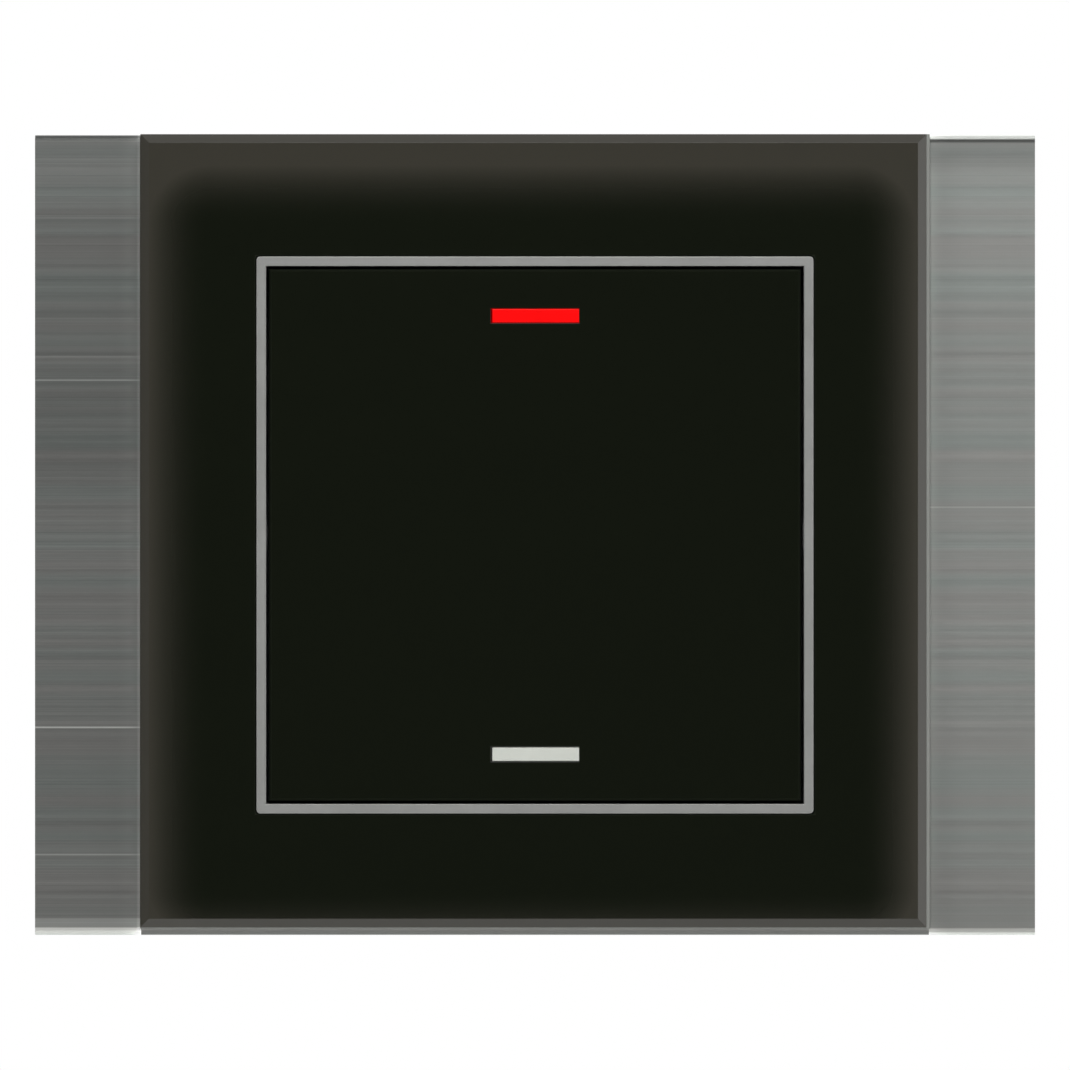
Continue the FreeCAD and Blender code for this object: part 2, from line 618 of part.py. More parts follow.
def bridge_rectifier():
    """Four-legged rectifier in the middle of the light board."""
    half_x = RECTIFIER_WIDTH / 2
    half_z = RECTIFIER_HEIGHT / 2
    case = centred(half_x, half_z, BOARD_FRONT_Y - RECTIFIER_DEPTH, BOARD_FRONT_Y)
    legs = []
    for x, z in CORNERS:
        x0, x1 = mirrored_span(x, (half_x, half_x + RECTIFIER_LEG_REACH))
        mid = z * RECTIFIER_LEG_Z
        half = RECTIFIER_LEG_WIDTH / 2
        front = BOARD_FRONT_Y - RECTIFIER_LEG_THICKNESS
        legs.append(slab(x0, x1, front, BOARD_FRONT_Y, mid - half, mid + half))
    return joined(case, legs)


def board_pins():
    """Live and neutral pins that feed the light board from the contact strips."""
    front = BOARD_FRONT_Y - BOARD_PIN_STICKOUT
    live = rod_y(-CONTACT_X, 0, BOARD_PIN_RADIUS, front, CONTACT_BASE_Y)
    rear = CONTACT_BASE_REAR_Y + STRIP_THICKNESS
    neutral = rod_y(-NEUTRAL_PIN_X, -NEUTRAL_PIN_Z, BOARD_PIN_RADIUS, front, rear)
    return Part.makeCompound([live, neutral])


def rear_housing():
    """Plastic box behind the bracket with two inner pillars for the rear cover's screws."""
    body = centred(HOUSING_HALF, HOUSING_HALF, 0, HOUSING_DEPTH, HOUSING_CORNER)
    inner = HOUSING_INNER_HALF
    inner_corner = HOUSING_CORNER - HOUSING_WALL
    body = body.cut(centred(inner, inner, HOUSING_WALL, HOUSING_DEPTH, inner_corner))
    pillars = []
    for side in SIDES:
        half = PILLAR_WIDTH / 2
        x0, x1 = mirrored_span(side, (inner - PILLAR_REACH, inner))
        pillars.append(slab(x0, x1, HOUSING_WALL, HOUSING_DEPTH, -half, half))
        x0, x1 = mirrored_span(side, (inner - PILLAR_REACH - PILLAR_STEP, inner))
        half += PILLAR_STEP
        pillars.append(slab(x0, x1, HOUSING_WALL, CONTACT_BASE_Y, -half, half))
    body = joined(body, pillars)
    cuts = assembly_holes(0, HOUSING_WALL)
    cuts += guide_holes(PLUNGER_RADIUS + PLUNGER_GUIDE_CLEARANCE, 0, HOUSING_WALL)
    cuts += pin_holes(BOARD_PIN_RADIUS + BOARD_PIN_CLEARANCE, 0, HOUSING_WALL)
    driver_radius = CLAMP_HEAD_RADIUS + DRIVER_HOLE_PLAY
    for side in SIDES:
        start = HOUSING_DEPTH - COVER_SCREW_LENGTH
        cuts.append(rod_y(side * COVER_SCREW_X, 0, COVER_SCREW_RADIUS, start, HOUSING_DEPTH))
        cuts.append(rod_z(side * TERMINAL_X, CLAMP_SCREW_Y, driver_radius, -HOUSING_HALF, -inner))
        cuts.append(rod_z(side * TERMINAL_X, CLAMP_SCREW_Y, driver_radius, inner, HOUSING_HALF))
    return body.cut(cuts)


def rear_cover():
    """Flat plate that closes the housing, with four wire entries."""
    plate = centred(HOUSING_HALF, HOUSING_HALF, HOUSING_DEPTH, COVER_REAR_Y, HOUSING_CORNER)
    cuts = []
    for x, z in CORNERS:
        cuts.append(rod_y(x * TERMINAL_X, z * TERMINAL_Z, WIRE_HOLE_RADIUS, HOUSING_DEPTH, COVER_REAR_Y))
    for side in SIDES:
        px = side * COVER_SCREW_X
        radius = COVER_SCREW_RADIUS + COVER_SCREW_CLEARANCE
        cuts.append(rod_y(px, 0, radius, HOUSING_DEPTH, COVER_REAR_Y))
        radius = COVER_HEAD_RADIUS + COVER_HEAD_PLAY
        cuts.append(rod_y(px, 0, radius, COVER_REAR_Y - COVER_HEAD, COVER_REAR_Y))
    return plate.cut(cuts)


def rear_cover_screws():
    """Two screws sunk flush into the rear cover."""
    screws = []
    for side in SIDES:
        px = side * COVER_SCREW_X
        tip = HOUSING_DEPTH - COVER_SCREW_LENGTH
        shank = rod_y(px, 0, COVER_SCREW_RADIUS, tip, COVER_REAR_Y - COVER_HEAD)
        head = rod_y(px, 0, COVER_HEAD_RADIUS, COVER_REAR_Y - COVER_HEAD, COVER_REAR_Y)
        screws.append(driver_cross(joined(shank, [head]), px, 0, COVER_REAR_Y))
    return Part.makeCompound(screws)


def contact_base():
    """Insulating plate with the fixed contacts in front and spring cups and posts behind."""
    half = CONTACT_BASE_HALF
    plate = centred(half, half, CONTACT_BASE_Y, CONTACT_BASE_REAR_Y)
    upright = [e for e in plate.Edges if abs(e.tangentAt(0).y) > 0.5]
    plate = plate.makeChamfer(CONTACT_BASE_CUT, upright)
    cup_radius = SPRING_MEAN_RADIUS + SPRING_WIRE / 2 + SPRING_CUP_PLAY
    cup_rear = SPRING_SEAT_Y + SPRING_CUP_FLOOR
    added = guide_holes(cup_radius + SPRING_CUP_WALL, CONTACT_BASE_REAR_Y, cup_rear)
    post = TERMINAL_SIZE / 2 - TERMINAL_POST_INSET
    for x, z in CORNERS:
        px = x * TERMINAL_X
        pz = z * TERMINAL_Z
        y0 = CONTACT_BASE_REAR_Y
        added.append(slab(px - post, px + post, y0, TERMINAL_FRONT_Y, pz - post, pz + post))
    plate = joined(plate, added)
    cuts = guide_holes(cup_radius, CONTACT_BASE_Y, SPRING_SEAT_Y)
    for x, z in ((-1, 1), (1, 1), (1, -1)):
        x0, x1 = mirrored_span(x, (TERMINAL_INNER_X - STRIP_THICKNESS, TERMINAL_INNER_X))
        z0 = z * TERMINAL_Z - LEG_WIDTH / 2 - SLOT_PLAY
        z1 = z * TERMINAL_Z + LEG_WIDTH / 2 + SLOT_PLAY
        x0 -= SLOT_PLAY
        x1 += SLOT_PLAY
        cuts.append(slab(x0, x1, CONTACT_BASE_Y, CONTACT_BASE_REAR_Y, z0, z1))
    for side in SIDES:
        x0, x1 = mirrored_span(side, (HOUSING_INNER_HALF - PILLAR_REACH - PILLAR_PLAY, half))
        width = PILLAR_WIDTH / 2 + PILLAR_PLAY
        cuts.append(slab(x0, x1, CONTACT_BASE_Y, CONTACT_BASE_REAR_Y, -width, width))
    radius = BOARD_PIN_RADIUS + BOARD_PIN_CLEARANCE
    neutral_z = -NEUTRAL_PIN_Z
    cuts.append(rod_y(-NEUTRAL_PIN_X, neutral_z, radius, CONTACT_BASE_Y, CONTACT_BASE_REAR_Y))
    return plate.cut(cuts)


def strip_leg(x, z, y0):
    """Upright leg of a contact strip against the inner face of its terminal."""
    x0, x1 = mirrored_span(x, (TERMINAL_INNER_X - STRIP_THICKNESS, TERMINAL_INNER_X))
    half = LEG_WIDTH / 2
    mid = z * TERMINAL_Z
    return slab(x0, x1, y0, TERMINAL_FRONT_Y + LEG_OVERLAP, mid - half, mid + half)


def common_contact_strip():
    """Live strip that runs past both bridges on the left."""
    x0, x1 = -TERMINAL_INNER_X, STRIP_WIDTH - TERMINAL_INNER_X
    end = PLUNGER_Z + STRIP_END
    flat = slab(x0, x1, STRIP_Y, CONTACT_BASE_Y, -end, end)
    strip = joined(flat, [strip_leg(-1, 1, STRIP_Y)])
    return strip.cut(rod_y(-CONTACT_X, 0, BOARD_PIN_RADIUS, STRIP_Y, CONTACT_BASE_Y))


def output_contact_strip(z):
    """Short strip on the right from one bridge to its output terminal."""
    x0, x1 = TERMINAL_INNER_X - STRIP_WIDTH, TERMINAL_INNER_X
    z0, z1 = mirrored_span(z, (TERMINAL_Z - LEG_WIDTH / 2, PLUNGER_Z + STRIP_END))
    flat = slab(x0, x1, STRIP_Y, CONTACT_BASE_Y, z0, z1)
    return joined(flat, [strip_leg(1, z, STRIP_Y)])


def neutral_strip():
    """Neutral strip behind the contact base, from its terminal to the neutral pin."""
    back = CONTACT_BASE_REAR_Y
    x0 = -TERMINAL_INNER_X
    x1 = STRIP_THICKNESS - TERMINAL_INNER_X
    z0 = -TERMINAL_Z - LEG_WIDTH / 2
    half = NEUTRAL_FOOT_WIDTH / 2
    z1 = half - NEUTRAL_PIN_Z
    link = slab(x0, x1, back, back + NEUTRAL_LINK_DEPTH, z0, z1)
    low_z = -half - NEUTRAL_PIN_Z
    foot = slab(-NEUTRAL_PIN_X - half, x1, back, back + STRIP_THICKNESS, low_z, z1)
    strip = joined(strip_leg(-1, -1, back), [link, foot])
    rear = back + STRIP_THICKNESS
    return strip.cut(rod_y(-NEUTRAL_PIN_X, -NEUTRAL_PIN_Z, BOARD_PIN_RADIUS, back, rear))


def fixed_contact_tips():
    """Four silver tips on the front of the contact strips."""
    tips = []
    for x, z in CORNERS:
        tips.append(rod_y(x * CONTACT_X, z * PLUNGER_Z, TIP_RADIUS, FIXED_TIP_Y, STRIP_Y))
    return Part.makeCompound(tips)


def terminal(x, z):
    """Brass block with a wire hole from behind and a threaded hole for its clamp screw."""
    px = x * TERMINAL_X
    pz = z * TERMINAL_Z
    half = TERMINAL_SIZE / 2
    x0, x1 = px - half, px + half
    z0, z1 = pz - half, pz + half
    block = slab(x0, x1, TERMINAL_FRONT_Y, HOUSING_DEPTH, z0, z1, TERMINAL_ROUNDING)
    hole_start = HOUSING_DEPTH - WIRE_HOLE_DEPTH
    cuts = [rod_y(px, pz, WIRE_HOLE_RADIUS, hole_start, HOUSING_DEPTH)]
    z0, z1 = mirrored_span(z, (TERMINAL_Z, TERMINAL_OUTER_Z))
    cuts.append(rod_z(px, CLAMP_SCREW_Y, CLAMP_SCREW_RADIUS, z0, z1))
    return block.cut(cuts)


def terminal_screws():
    """Four clamp screws, reached through the housing's top and bottom walls."""
    screws = []
    for x, z in CORNERS:
        px = x * TERMINAL_X
        tip = TERMINAL_Z + WIRE_HOLE_RADIUS + CLAMP_SCREW_CLEARANCE
        z0, z1 = mirrored_span(z, (tip, TERMINAL_OUTER_Z))
        shank = rod_z(px, CLAMP_SCREW_Y, CLAMP_SCREW_RADIUS, z0, z1)
        top = TERMINAL_OUTER_Z + CLAMP_HEAD
        z0, z1 = mirrored_span(z, (TERMINAL_OUTER_Z, top))
        head = rod_z(px, CLAMP_SCREW_Y, CLAMP_HEAD_RADIUS, z0, z1)
        z0, z1 = mirrored_span(z, (top - DRIVER_SLOT_DEPTH, top))
        half = DRIVER_SLOT_WIDTH / 2
        reach = CLAMP_HEAD_RADIUS
        slot = slab(px - reach, px + reach, CLAMP_SCREW_Y - half, CLAMP_SCREW_Y + half, z0, z1)
        screws.append(joined(shank, [head]).cut(slot))
    return Part.makeCompound(screws)


def button_glass():
    """Square glass push plate with a slot near its top and its bottom edge."""
    plate = centred(BUTTON_HALF, BUTTON_HALF, FRONT_Y, BUTTON_REAR_Y)
    plate = plate.makeChamfer(GLASS_ARRIS, edges_at_front(plate, FRONT_Y, BASE_HEIGHT))
    return plate.cut([bar_block(side, BAR_PLAY, FRONT_Y, BUTTON_REAR_Y) for side in SIDES])


def bar_block(side, margin, y0, y1):
    """Block with the outline of an indicator bar, grown by a margin."""
    half_x = BAR_WIDTH / 2 + margin
    half_z = BAR_HEIGHT / 2 + margin
    mid = side * BAR_Z
    return slab(-half_x, half_x, y0, y1, mid - half_z, mid + half_z)


def button_bond():
    """Adhesive layer between the push plate and its carrier."""
    half = BUTTON_HALF - BOND_INSET
    layer = centred(half, half, BUTTON_REAR_Y, BOND_REAR_Y)
    margin = BAR_FLANGE + FLANGE_POCKET_PLAY
    return layer.cut([bar_block(side, margin, BUTTON_REAR_Y, BOND_REAR_Y) for side in SIDES])


def button_carrier():
    """Ribbed plastic carrier with two hubs on the pivot axis and two pads for the plungers."""
    half = CARRIER_HALF
    body = centred(half, half, BOND_REAR_Y, SKIRT_REAR_Y, CARRIER_CORNER)
    hollow = half - SKIRT_WALL
    body = body.cut(centred(hollow, hollow, CARRIER_REAR_Y, SKIRT_REAR_Y))
    added = []
    rib = RIB_WALL / 2
    for side in SIDES:
        mid = side * LONG_RIB_X
        added.append(slab(mid - rib, mid + rib, CARRIER_REAR_Y, SKIRT_REAR_Y, -hollow, hollow))
        mid = side * CROSS_RIB_Z
        added.append(slab(-hollow, hollow, CARRIER_REAR_Y, SKIRT_REAR_Y, mid - rib, mid + rib))
        x0, x1 = mirrored_span(side, (HUB_X - HUB_WIDTH / 2, HUB_X + HUB_WIDTH / 2))
        added.append(slab(x0, x1, CARRIER_REAR_Y, PIVOT_Y, -HUB_RADIUS, HUB_RADIUS))
        added.append(rod_x(PIVOT_Y, 0, HUB_RADIUS, x0, x1))
    added += guide_holes(PAD_RADIUS, CARRIER_REAR_Y, PAD_Y)
    body = joined(body, added)
    cuts = []
    pocket_y = BUTTON_REAR_Y + BAR_FLANGE_DEPTH
    for side in SIDES:
        cuts.append(bar_block(side, BAR_FLANGE + FLANGE_POCKET_PLAY, BOND_REAR_Y, pocket_y))
        cuts.append(bar_block(side, BAR_PLAY, pocket_y, SKIRT_REAR_Y))
        x0, x1 = mirrored_span(side, (HUB_X - HUB_WIDTH / 2, HUB_X + HUB_WIDTH / 2))
        cuts.append(rod_x(PIVOT_Y, 0, PIN_RADIUS + PIN_CLEARANCE, x0, x1))
        for span in ear_spans():
            x0, x1 = mirrored_span(side, span)
            radius = EAR_RADIUS + EAR_RELIEF
            cuts.append(rod_x(PIVOT_Y, 0, radius, x0 - HUB_SIDE_PLAY, x1 + HUB_SIDE_PLAY))
    return body.cut(cuts)


def light_bar(side):
    """Light guide: a bar flush with the glass, a flange behind it and a tail towards the lamp."""
    bar = bar_block(side, 0, FRONT_Y, SKIRT_REAR_Y)
    flange = bar_block(side, BAR_FLANGE, BUTTON_REAR_Y, BUTTON_REAR_Y + BAR_FLANGE_DEPTH)
    return joined(bar, [flange])


def plunger(side):
    """Round plunger with a domed head, a stop collar and a thin stub through the bridge."""
    z = side * PLUNGER_Z
    centre = FreeCAD.Vector(0, PLUNGER_TIP_Y + PLUNGER_DOME, z)
    dome = Part.makeSphere(PLUNGER_DOME, centre)
    shaft = rod_y(0, z, PLUNGER_RADIUS, PLUNGER_TIP_Y - 1, PLUNGER_TIP_Y + PLUNGER_DOME)
    head = shaft.common(dome)
    body = rod_y(0, z, PLUNGER_RADIUS, PLUNGER_TIP_Y + PLUNGER_DOME, COLLAR_Y)
    collar = rod_y(0, z, COLLAR_RADIUS, COLLAR_Y, BRIDGE_Y)
    stub = rod_y(0, z, STUB_RADIUS, BRIDGE_Y, BRIDGE_Y + STUB_LENGTH)
    return joined(head, [body, collar, stub])


def contact_bridge(side):
    """Flat copper bridge on the plunger's stub."""
    z = side * PLUNGER_Z
    half_x = CONTACT_X + TIP_RADIUS + BRIDGE_END
    half_z = BRIDGE_WIDTH / 2
    bar = slab(-half_x, half_x, BRIDGE_Y, BRIDGE_REAR_Y, z - half_z, z + half_z, BRIDGE_CORNER)
    return bar.cut(rod_y(0, z, STUB_RADIUS, BRIDGE_Y, BRIDGE_REAR_Y))


def bridge_tips(side):
    """Two silver tips on the rear of a bridge."""
    z = side * PLUNGER_Z
    tips = [rod_y(x * CONTACT_X, z, TIP_RADIUS, BRIDGE_REAR_Y, MOVING_TIP_Y) for x in SIDES]
    return Part.makeCompound(tips)


def bridge_clip(side):
    """Open retaining ring that holds a bridge on its plunger and seats the spring."""
    z = side * PLUNGER_Z
    outer = STUB_RADIUS + CLIP_RING_WALL
    ring = rod_y(0, z, outer, BRIDGE_REAR_Y, SPRING_Y)
    half = CLIP_RING_MOUTH / 2
    mouth = slab(0, outer, BRIDGE_REAR_Y, SPRING_Y, z - half, z + half)
    return ring.cut([rod_y(0, z, STUB_RADIUS, BRIDGE_REAR_Y, SPRING_Y), mouth])


def arc_between(start, corner, end):
    """Arc that is tangent to both legs of start, corner, end; the legs have equal lengths."""
    chord_middle = (start + end) * 0.5
    half_chord = (end - start).Length / 2
    rise = corner - chord_middle
    sagitta = half_chord * math.tan(math.atan2(rise.Length, half_chord) / 2)
    rise.normalize()
    return Part.Arc(start, chord_middle + rise * sagitta, end).toShape()


def biarc(start, start_way, end, end_way):
    """Two tangent arcs that leave start along start_way and reach end along end_way."""
    gap = end - start
    ways = start_way + end_way
    a = ways.dot(ways) - 4
    b = -2 * gap.dot(ways)
    c = gap.dot(gap)
    leg = (-b - math.sqrt(b * b - 4 * a * c)) / (2 * a)
    first_corner = start + start_way * leg
    second_corner = end - end_way * leg
    middle = (first_corner + second_corner) * 0.5
    return [arc_between(start, first_corner, middle), arc_between(middle, second_corner, end)]


def coil_points(side, count):
    """Points and directions of the spring's centre line, count steps for each turn."""
    low = SPRING_Y + SPRING_WIRE / 2
    high = SPRING_SEAT_Y - SPRING_WIRE / 2
    climb = (high - low) / (2 * math.pi * SPRING_TURNS)
    places = []
    for step in range(SPRING_TURNS * count + 1):
        angle = 2 * math.pi * step / count
        across = SPRING_MEAN_RADIUS * math.cos(angle)
        up = SPRING_MEAN_RADIUS * math.sin(angle)
        point = FreeCAD.Vector(across, low + climb * angle, side * PLUNGER_Z + up)
        way = FreeCAD.Vector(-up, climb, across)
        way.normalize()
        places.append((point, way))
    return places


def return_spring(side):
    """Round-wire coil spring between the retaining ring and the floor of its cup."""
    places = coil_points(side, 4)
    edges = []
    for (start, start_way), (end, end_way) in zip(places, places[1:]):
        edges += biarc(start, start_way, end, end_way)
    path = Part.Wire(edges)
    circle = Part.Wire([Part.makeCircle(SPRING_WIRE / 2, places[0][0], places[0][1])])
    return path.makePipeShell([circle], True, False)


def least_coil_gap():
    """Smallest distance between the surfaces of neighbouring turns."""
    points = [place[0] for place in coil_points(1, 24)]
    pairs = ((p, q) for i, p in enumerate(points) for q in points[i + 16:])
    return min((q - p).Length for p, q in pairs) - SPRING_WIRE


PIECES = {
    "metal_frame": metal_frame(),
    "glass_frame_plate": glass_frame_plate(),
    "glass_bond_tape": glass_bond_tape(),
    "trim_ring": trim_ring(),
    "clip_frame": clip_frame(),
    "clip_frame_screws": clip_frame_screws(),
    "support_bracket": support_bracket(),
    "insulating_sheet": insulating_sheet(),
    "assembly_screws": assembly_screws(),
    "insert_tray": insert_tray(),
    "pivot_pin_left": pivot_pin(-1),
    "pivot_pin_right": pivot_pin(1),
    "led_board": led_board(),
    "red_led": led(1),
    "white_led": led(-1),
    "led_resistors": led_resistors(),
    "bridge_rectifier": bridge_rectifier(),
    "board_pins": board_pins(),
    "rear_housing": rear_housing(),
    "rear_cover": rear_cover(),
    "rear_cover_screws": rear_cover_screws(),
    "contact_base": contact_base(),
    "common_contact_strip": common_contact_strip(),
    "upper_contact_strip": output_contact_strip(1),
    "lower_contact_strip": output_contact_strip(-1),
    "neutral_strip": neutral_strip(),
    "fixed_contact_tips": fixed_contact_tips(),
    "live_terminal": terminal(-1, 1),
    "upper_output_terminal": terminal(1, 1),
    "lower_output_terminal": terminal(1, -1),
    "neutral_terminal": terminal(-1, -1),
    "terminal_screws": terminal_screws(),
    "button_glass": button_glass(),
    "button_bond": button_bond(),
    "button_carrier": button_carrier(),
    "upper_light_bar": light_bar(1),
    "lower_light_bar": light_bar(-1),
    "upper_plunger": plunger(1),
    "upper_contact_bridge": contact_bridge(1),
    "upper_bridge_tips": bridge_tips(1),
    "upper_bridge_clip": bridge_clip(1),
    "upper_return_spring": return_spring(1),
    "lower_plunger": plunger(-1),
    "lower_contact_bridge": contact_bridge(-1),
    "lower_bridge_tips": bridge_tips(-1),
    "lower_bridge_clip": bridge_clip(-1),
    "lower_return_spring": return_spring(-1),
}

os.makedirs("parts", exist_ok=True)
for name, shape in PIECES.items():
    shape.exportStep("parts/" + name + ".step")
print("least gap between spring turns", round(least_coil_gap(), 3))
print("pivot height", round(PIVOT_Y, 4), "plunger travel", round(PLUNGER_TRAVEL, 4))
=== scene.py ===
import json
import math

import bmesh
import bpy
import numpy as np
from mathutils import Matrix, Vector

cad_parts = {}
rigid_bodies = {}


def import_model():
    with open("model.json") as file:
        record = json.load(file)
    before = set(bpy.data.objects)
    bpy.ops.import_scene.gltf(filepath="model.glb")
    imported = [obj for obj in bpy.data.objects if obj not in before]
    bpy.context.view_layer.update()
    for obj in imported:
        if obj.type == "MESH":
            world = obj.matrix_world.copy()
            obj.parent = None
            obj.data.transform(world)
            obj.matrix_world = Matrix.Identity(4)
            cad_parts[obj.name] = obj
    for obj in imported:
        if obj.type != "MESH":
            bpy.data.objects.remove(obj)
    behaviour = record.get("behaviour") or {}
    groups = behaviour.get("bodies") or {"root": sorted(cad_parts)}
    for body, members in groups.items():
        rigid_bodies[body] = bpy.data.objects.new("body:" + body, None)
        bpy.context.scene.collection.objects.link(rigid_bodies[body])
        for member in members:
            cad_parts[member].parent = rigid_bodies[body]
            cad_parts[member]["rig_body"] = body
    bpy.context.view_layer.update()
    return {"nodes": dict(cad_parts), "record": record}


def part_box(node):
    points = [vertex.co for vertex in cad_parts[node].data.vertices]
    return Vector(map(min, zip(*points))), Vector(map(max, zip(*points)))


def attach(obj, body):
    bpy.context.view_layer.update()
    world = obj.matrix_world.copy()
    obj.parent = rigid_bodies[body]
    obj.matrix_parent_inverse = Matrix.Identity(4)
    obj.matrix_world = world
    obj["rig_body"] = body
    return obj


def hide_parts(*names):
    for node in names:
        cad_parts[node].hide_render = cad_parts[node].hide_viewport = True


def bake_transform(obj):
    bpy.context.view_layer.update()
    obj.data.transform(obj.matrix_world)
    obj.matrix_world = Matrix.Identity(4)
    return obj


# Looks of a black glass push-button wall switch on a brushed metal base.
# Metres. X points right, Z up, the viewer stands on the -Y side and the wall is the plane y = 0.

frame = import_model()

MM = 0.001

# Smallest radius of a corner, and the play allowed when two places are compared
TINY = 0.02 * MM

# Points along the arc of an edge and of a corner, and how far past its ends a support point lies
ARC_STEPS = 6
CORNER_STEPS = 7
SUPPORT = 0.04 * MM
CORNER_SUPPORT = 0.15 * MM

# Camera: the photograph shows the front square on, 115 mm wide at the plane of the wings
LENS = 400.0
SENSOR = 36.0
HALF_VIEW = 57.51 * MM
WING_Y = -7.2 * MM

# Glass frame plate: its bevel, the radii of its inner and outer edges, the ground ledge on its
# right and below, and its window
GLASS_BEVEL = 0.95 * MM
GLASS_ARRIS = 0.04 * MM
EDGE_ROUNDING = 0.1 * MM
GROUND_RIGHT = 0.36 * MM
GROUND_BOTTOM = 0.16 * MM
GROUND_DEPTH = 0.06 * MM
WINDOW_HALF = 29.97 * MM
WINDOW_CORNER = 0.5 * MM

# Trim ring: its outline at the front, its wall, and the flange behind it
RING_HALF = 29.87 * MM
RING_WALL = 1.05 * MM
RING_CORNER = 0.42 * MM
FLANGE_THICKNESS = 0.55 * MM
RING_ROUNDING = 0.1 * MM

# Indicator bars: a little smaller than their slots, and a hair to the right of the middle
BAR_INSET = 0.04 * MM
BAR_SHIFT = 0.08 * MM
BAR_FLANGE = 1.0 * MM
BAR_FLANGE_THICKNESS = 0.9 * MM
BAR_ROUNDING = 0.08 * MM
BUTTON_GLASS_THICKNESS = 3.0 * MM

# Inner lip of the clip frame: its play round the button, and how far it reaches behind it
LIP_PLAY = 0.15 * MM
LIP_REACH = 0.35 * MM

# Return springs: turns, wire, how much slower the climb is at both ends, and the points along each
# turn and round the wire
SPRING_TURNS = 6
SPRING_WIRE = 0.6 * MM
CLOSED_END = 0.47
COIL_STEPS = 48
WIRE_STEPS = 14

# Width of the rounding on the sharp edges of the carried-over pieces
EDGE = {
    "metal_frame": 0.08 * MM,
    "button_glass": 0.04 * MM,
    "clip_frame": 0.15 * MM,
    "clip_frame_screws": 0.08 * MM,
    "support_bracket": 0.1 * MM,
    "insert_tray": 0.12 * MM,
    "button_carrier": 0.1 * MM,
    "rear_housing": 0.25 * MM,
    "rear_cover": 0.15 * MM,
    "rear_cover_screws": 0.08 * MM,
    "assembly_screws": 0.08 * MM,
    "terminal_screws": 0.08 * MM,
    "contact_base": 0.12 * MM,
    "live_terminal": 0.12 * MM,
    "upper_output_terminal": 0.12 * MM,
    "lower_output_terminal": 0.12 * MM,
    "neutral_terminal": 0.12 * MM,
    "bridge_rectifier": 0.06 * MM,
    "led_resistors": 0.06 * MM,
}
ROUNDING_SEGMENTS = 2
SHARP_ANGLE = math.radians(30)

# Points closer than this are merged, and faces that turn by less than this angle are joined
MERGE_DISTANCE = 0.001 * MM
FLAT_ANGLE = math.radians(0.5)


# Shapes

def rounded_section(corners, radii, closed):
    """Section line with an arc in place of each corner.

    A corner P with unit directions u and v to its neighbours, at the angle phi, gets the centre
    P + (u + v) / |u + v| * r / sin(phi / 2), and the arc runs between the tangent points at
    r / tan(phi / 2) from P. A support point lies just past each end of the arc. All corners are
    worked out at once. An open line keeps its first and last corner as they are.
    """
    points = np.asarray(corners, float)
    radius = np.asarray(radii, float)[:, None]
    before = np.roll(points, 1, axis=0) - points
    after = np.roll(points, -1, axis=0) - points
    u = before / np.linalg.norm(before, axis=1, keepdims=True)
    v = after / np.linalg.norm(after, axis=1, keepdims=True)
    half = np.arccos(np.clip((u * v).sum(axis=1, keepdims=True), -1, 1)) / 2
    middle = u + v
    centre = points + middle / np.linalg.norm(middle, axis=1, keepdims=True) * radius / np.sin(half)
    reach = radius / np.tan(half)
    start = points + u * reach - centre
    end = points + v * reach - centre
    turn = math.pi - 2 * half[:, None, :]
    t = np.linspace(0, 1, ARC_STEPS)[None, :, None]
    arc = (np.sin((1 - t) * turn) * start[:, None] + np.sin(t * turn) * end[:, None]) / np.sin(turn)
    arc = arc + centre[:, None]
    lead = (points + u * (reach + SUPPORT))[:, None]
    trail = (points + v * (reach + SUPPORT))[:, None]
    line = np.concatenate([lead, arc, trail], axis=1)
    if closed:
        return line.reshape(-1, 2)
    return np.concatenate([points[:1], line[1:-1].reshape(-1, 2), points[-1:]])


def rounded_outlines(x0, x1, z0, z1, corner, y):
    """Grid of closed rectangles with rounded corners, one row for each entry of the arrays.

    Corner k has its centre at (+-(x - r), +-(z - r)) and adds r (cos a, sin a), with a from
    k pi / 2 to (k + 1) pi / 2. A support point lies on the straight side just past each end of
    the arc, along (-sin a, cos a), so that the straight sides are shaded flat.
    """
    quarter = np.arange(4)[:, None]
    turn = np.pad(np.linspace(0, 1, CORNER_STEPS), 1, mode="edge")
    past = np.zeros_like(turn)
    past[0], past[-1] = -CORNER_SUPPORT, CORNER_SUPPORT
    angle = ((quarter + turn[None, :]) * math.pi / 2).ravel()
    past = np.tile(past, 4)
    right = np.isin(quarter, (0, 3)).repeat(len(turn), axis=1).ravel()
    top = (quarter < 2).repeat(len(turn), axis=1).ravel()
    r = corner[:, None]
    x = np.where(right, x1[:, None] - r, x0[:, None] + r) + r * np.cos(angle) - past * np.sin(angle)
    z = np.where(top, z1[:, None] - r, z0[:, None] + r) + r * np.sin(angle) + past * np.cos(angle)
    return np.stack([x, np.broadcast_to(y[:, None], x.shape), z], axis=-1)


def skin(name, grid, wrap_rows=False):
    """Closed mesh through a grid of points whose columns wrap round.

    The rows wrap round too, or else the first and the last row are closed by one face each.
    """
    rows, columns = grid.shape[:2]
    index = np.arange(rows * columns).reshape(rows, columns)
    following = np.roll(index, -1, axis=0)
    if not wrap_rows:
        following = following[:-1]
    this = index[:len(following)]
    quads = np.stack([this, np.roll(this, -1, 1), np.roll(following, -1, 1), following], axis=-1)
    faces = quads.reshape(-1, 4).tolist()
    if not wrap_rows:
        faces += [index[0][::-1].tolist(), index[-1].tolist()]
    mesh = bpy.data.meshes.new(name)
    mesh.from_pydata(grid.reshape(-1, 3).tolist(), [], faces)
    face_outwards(mesh)
    return placed(name, mesh)


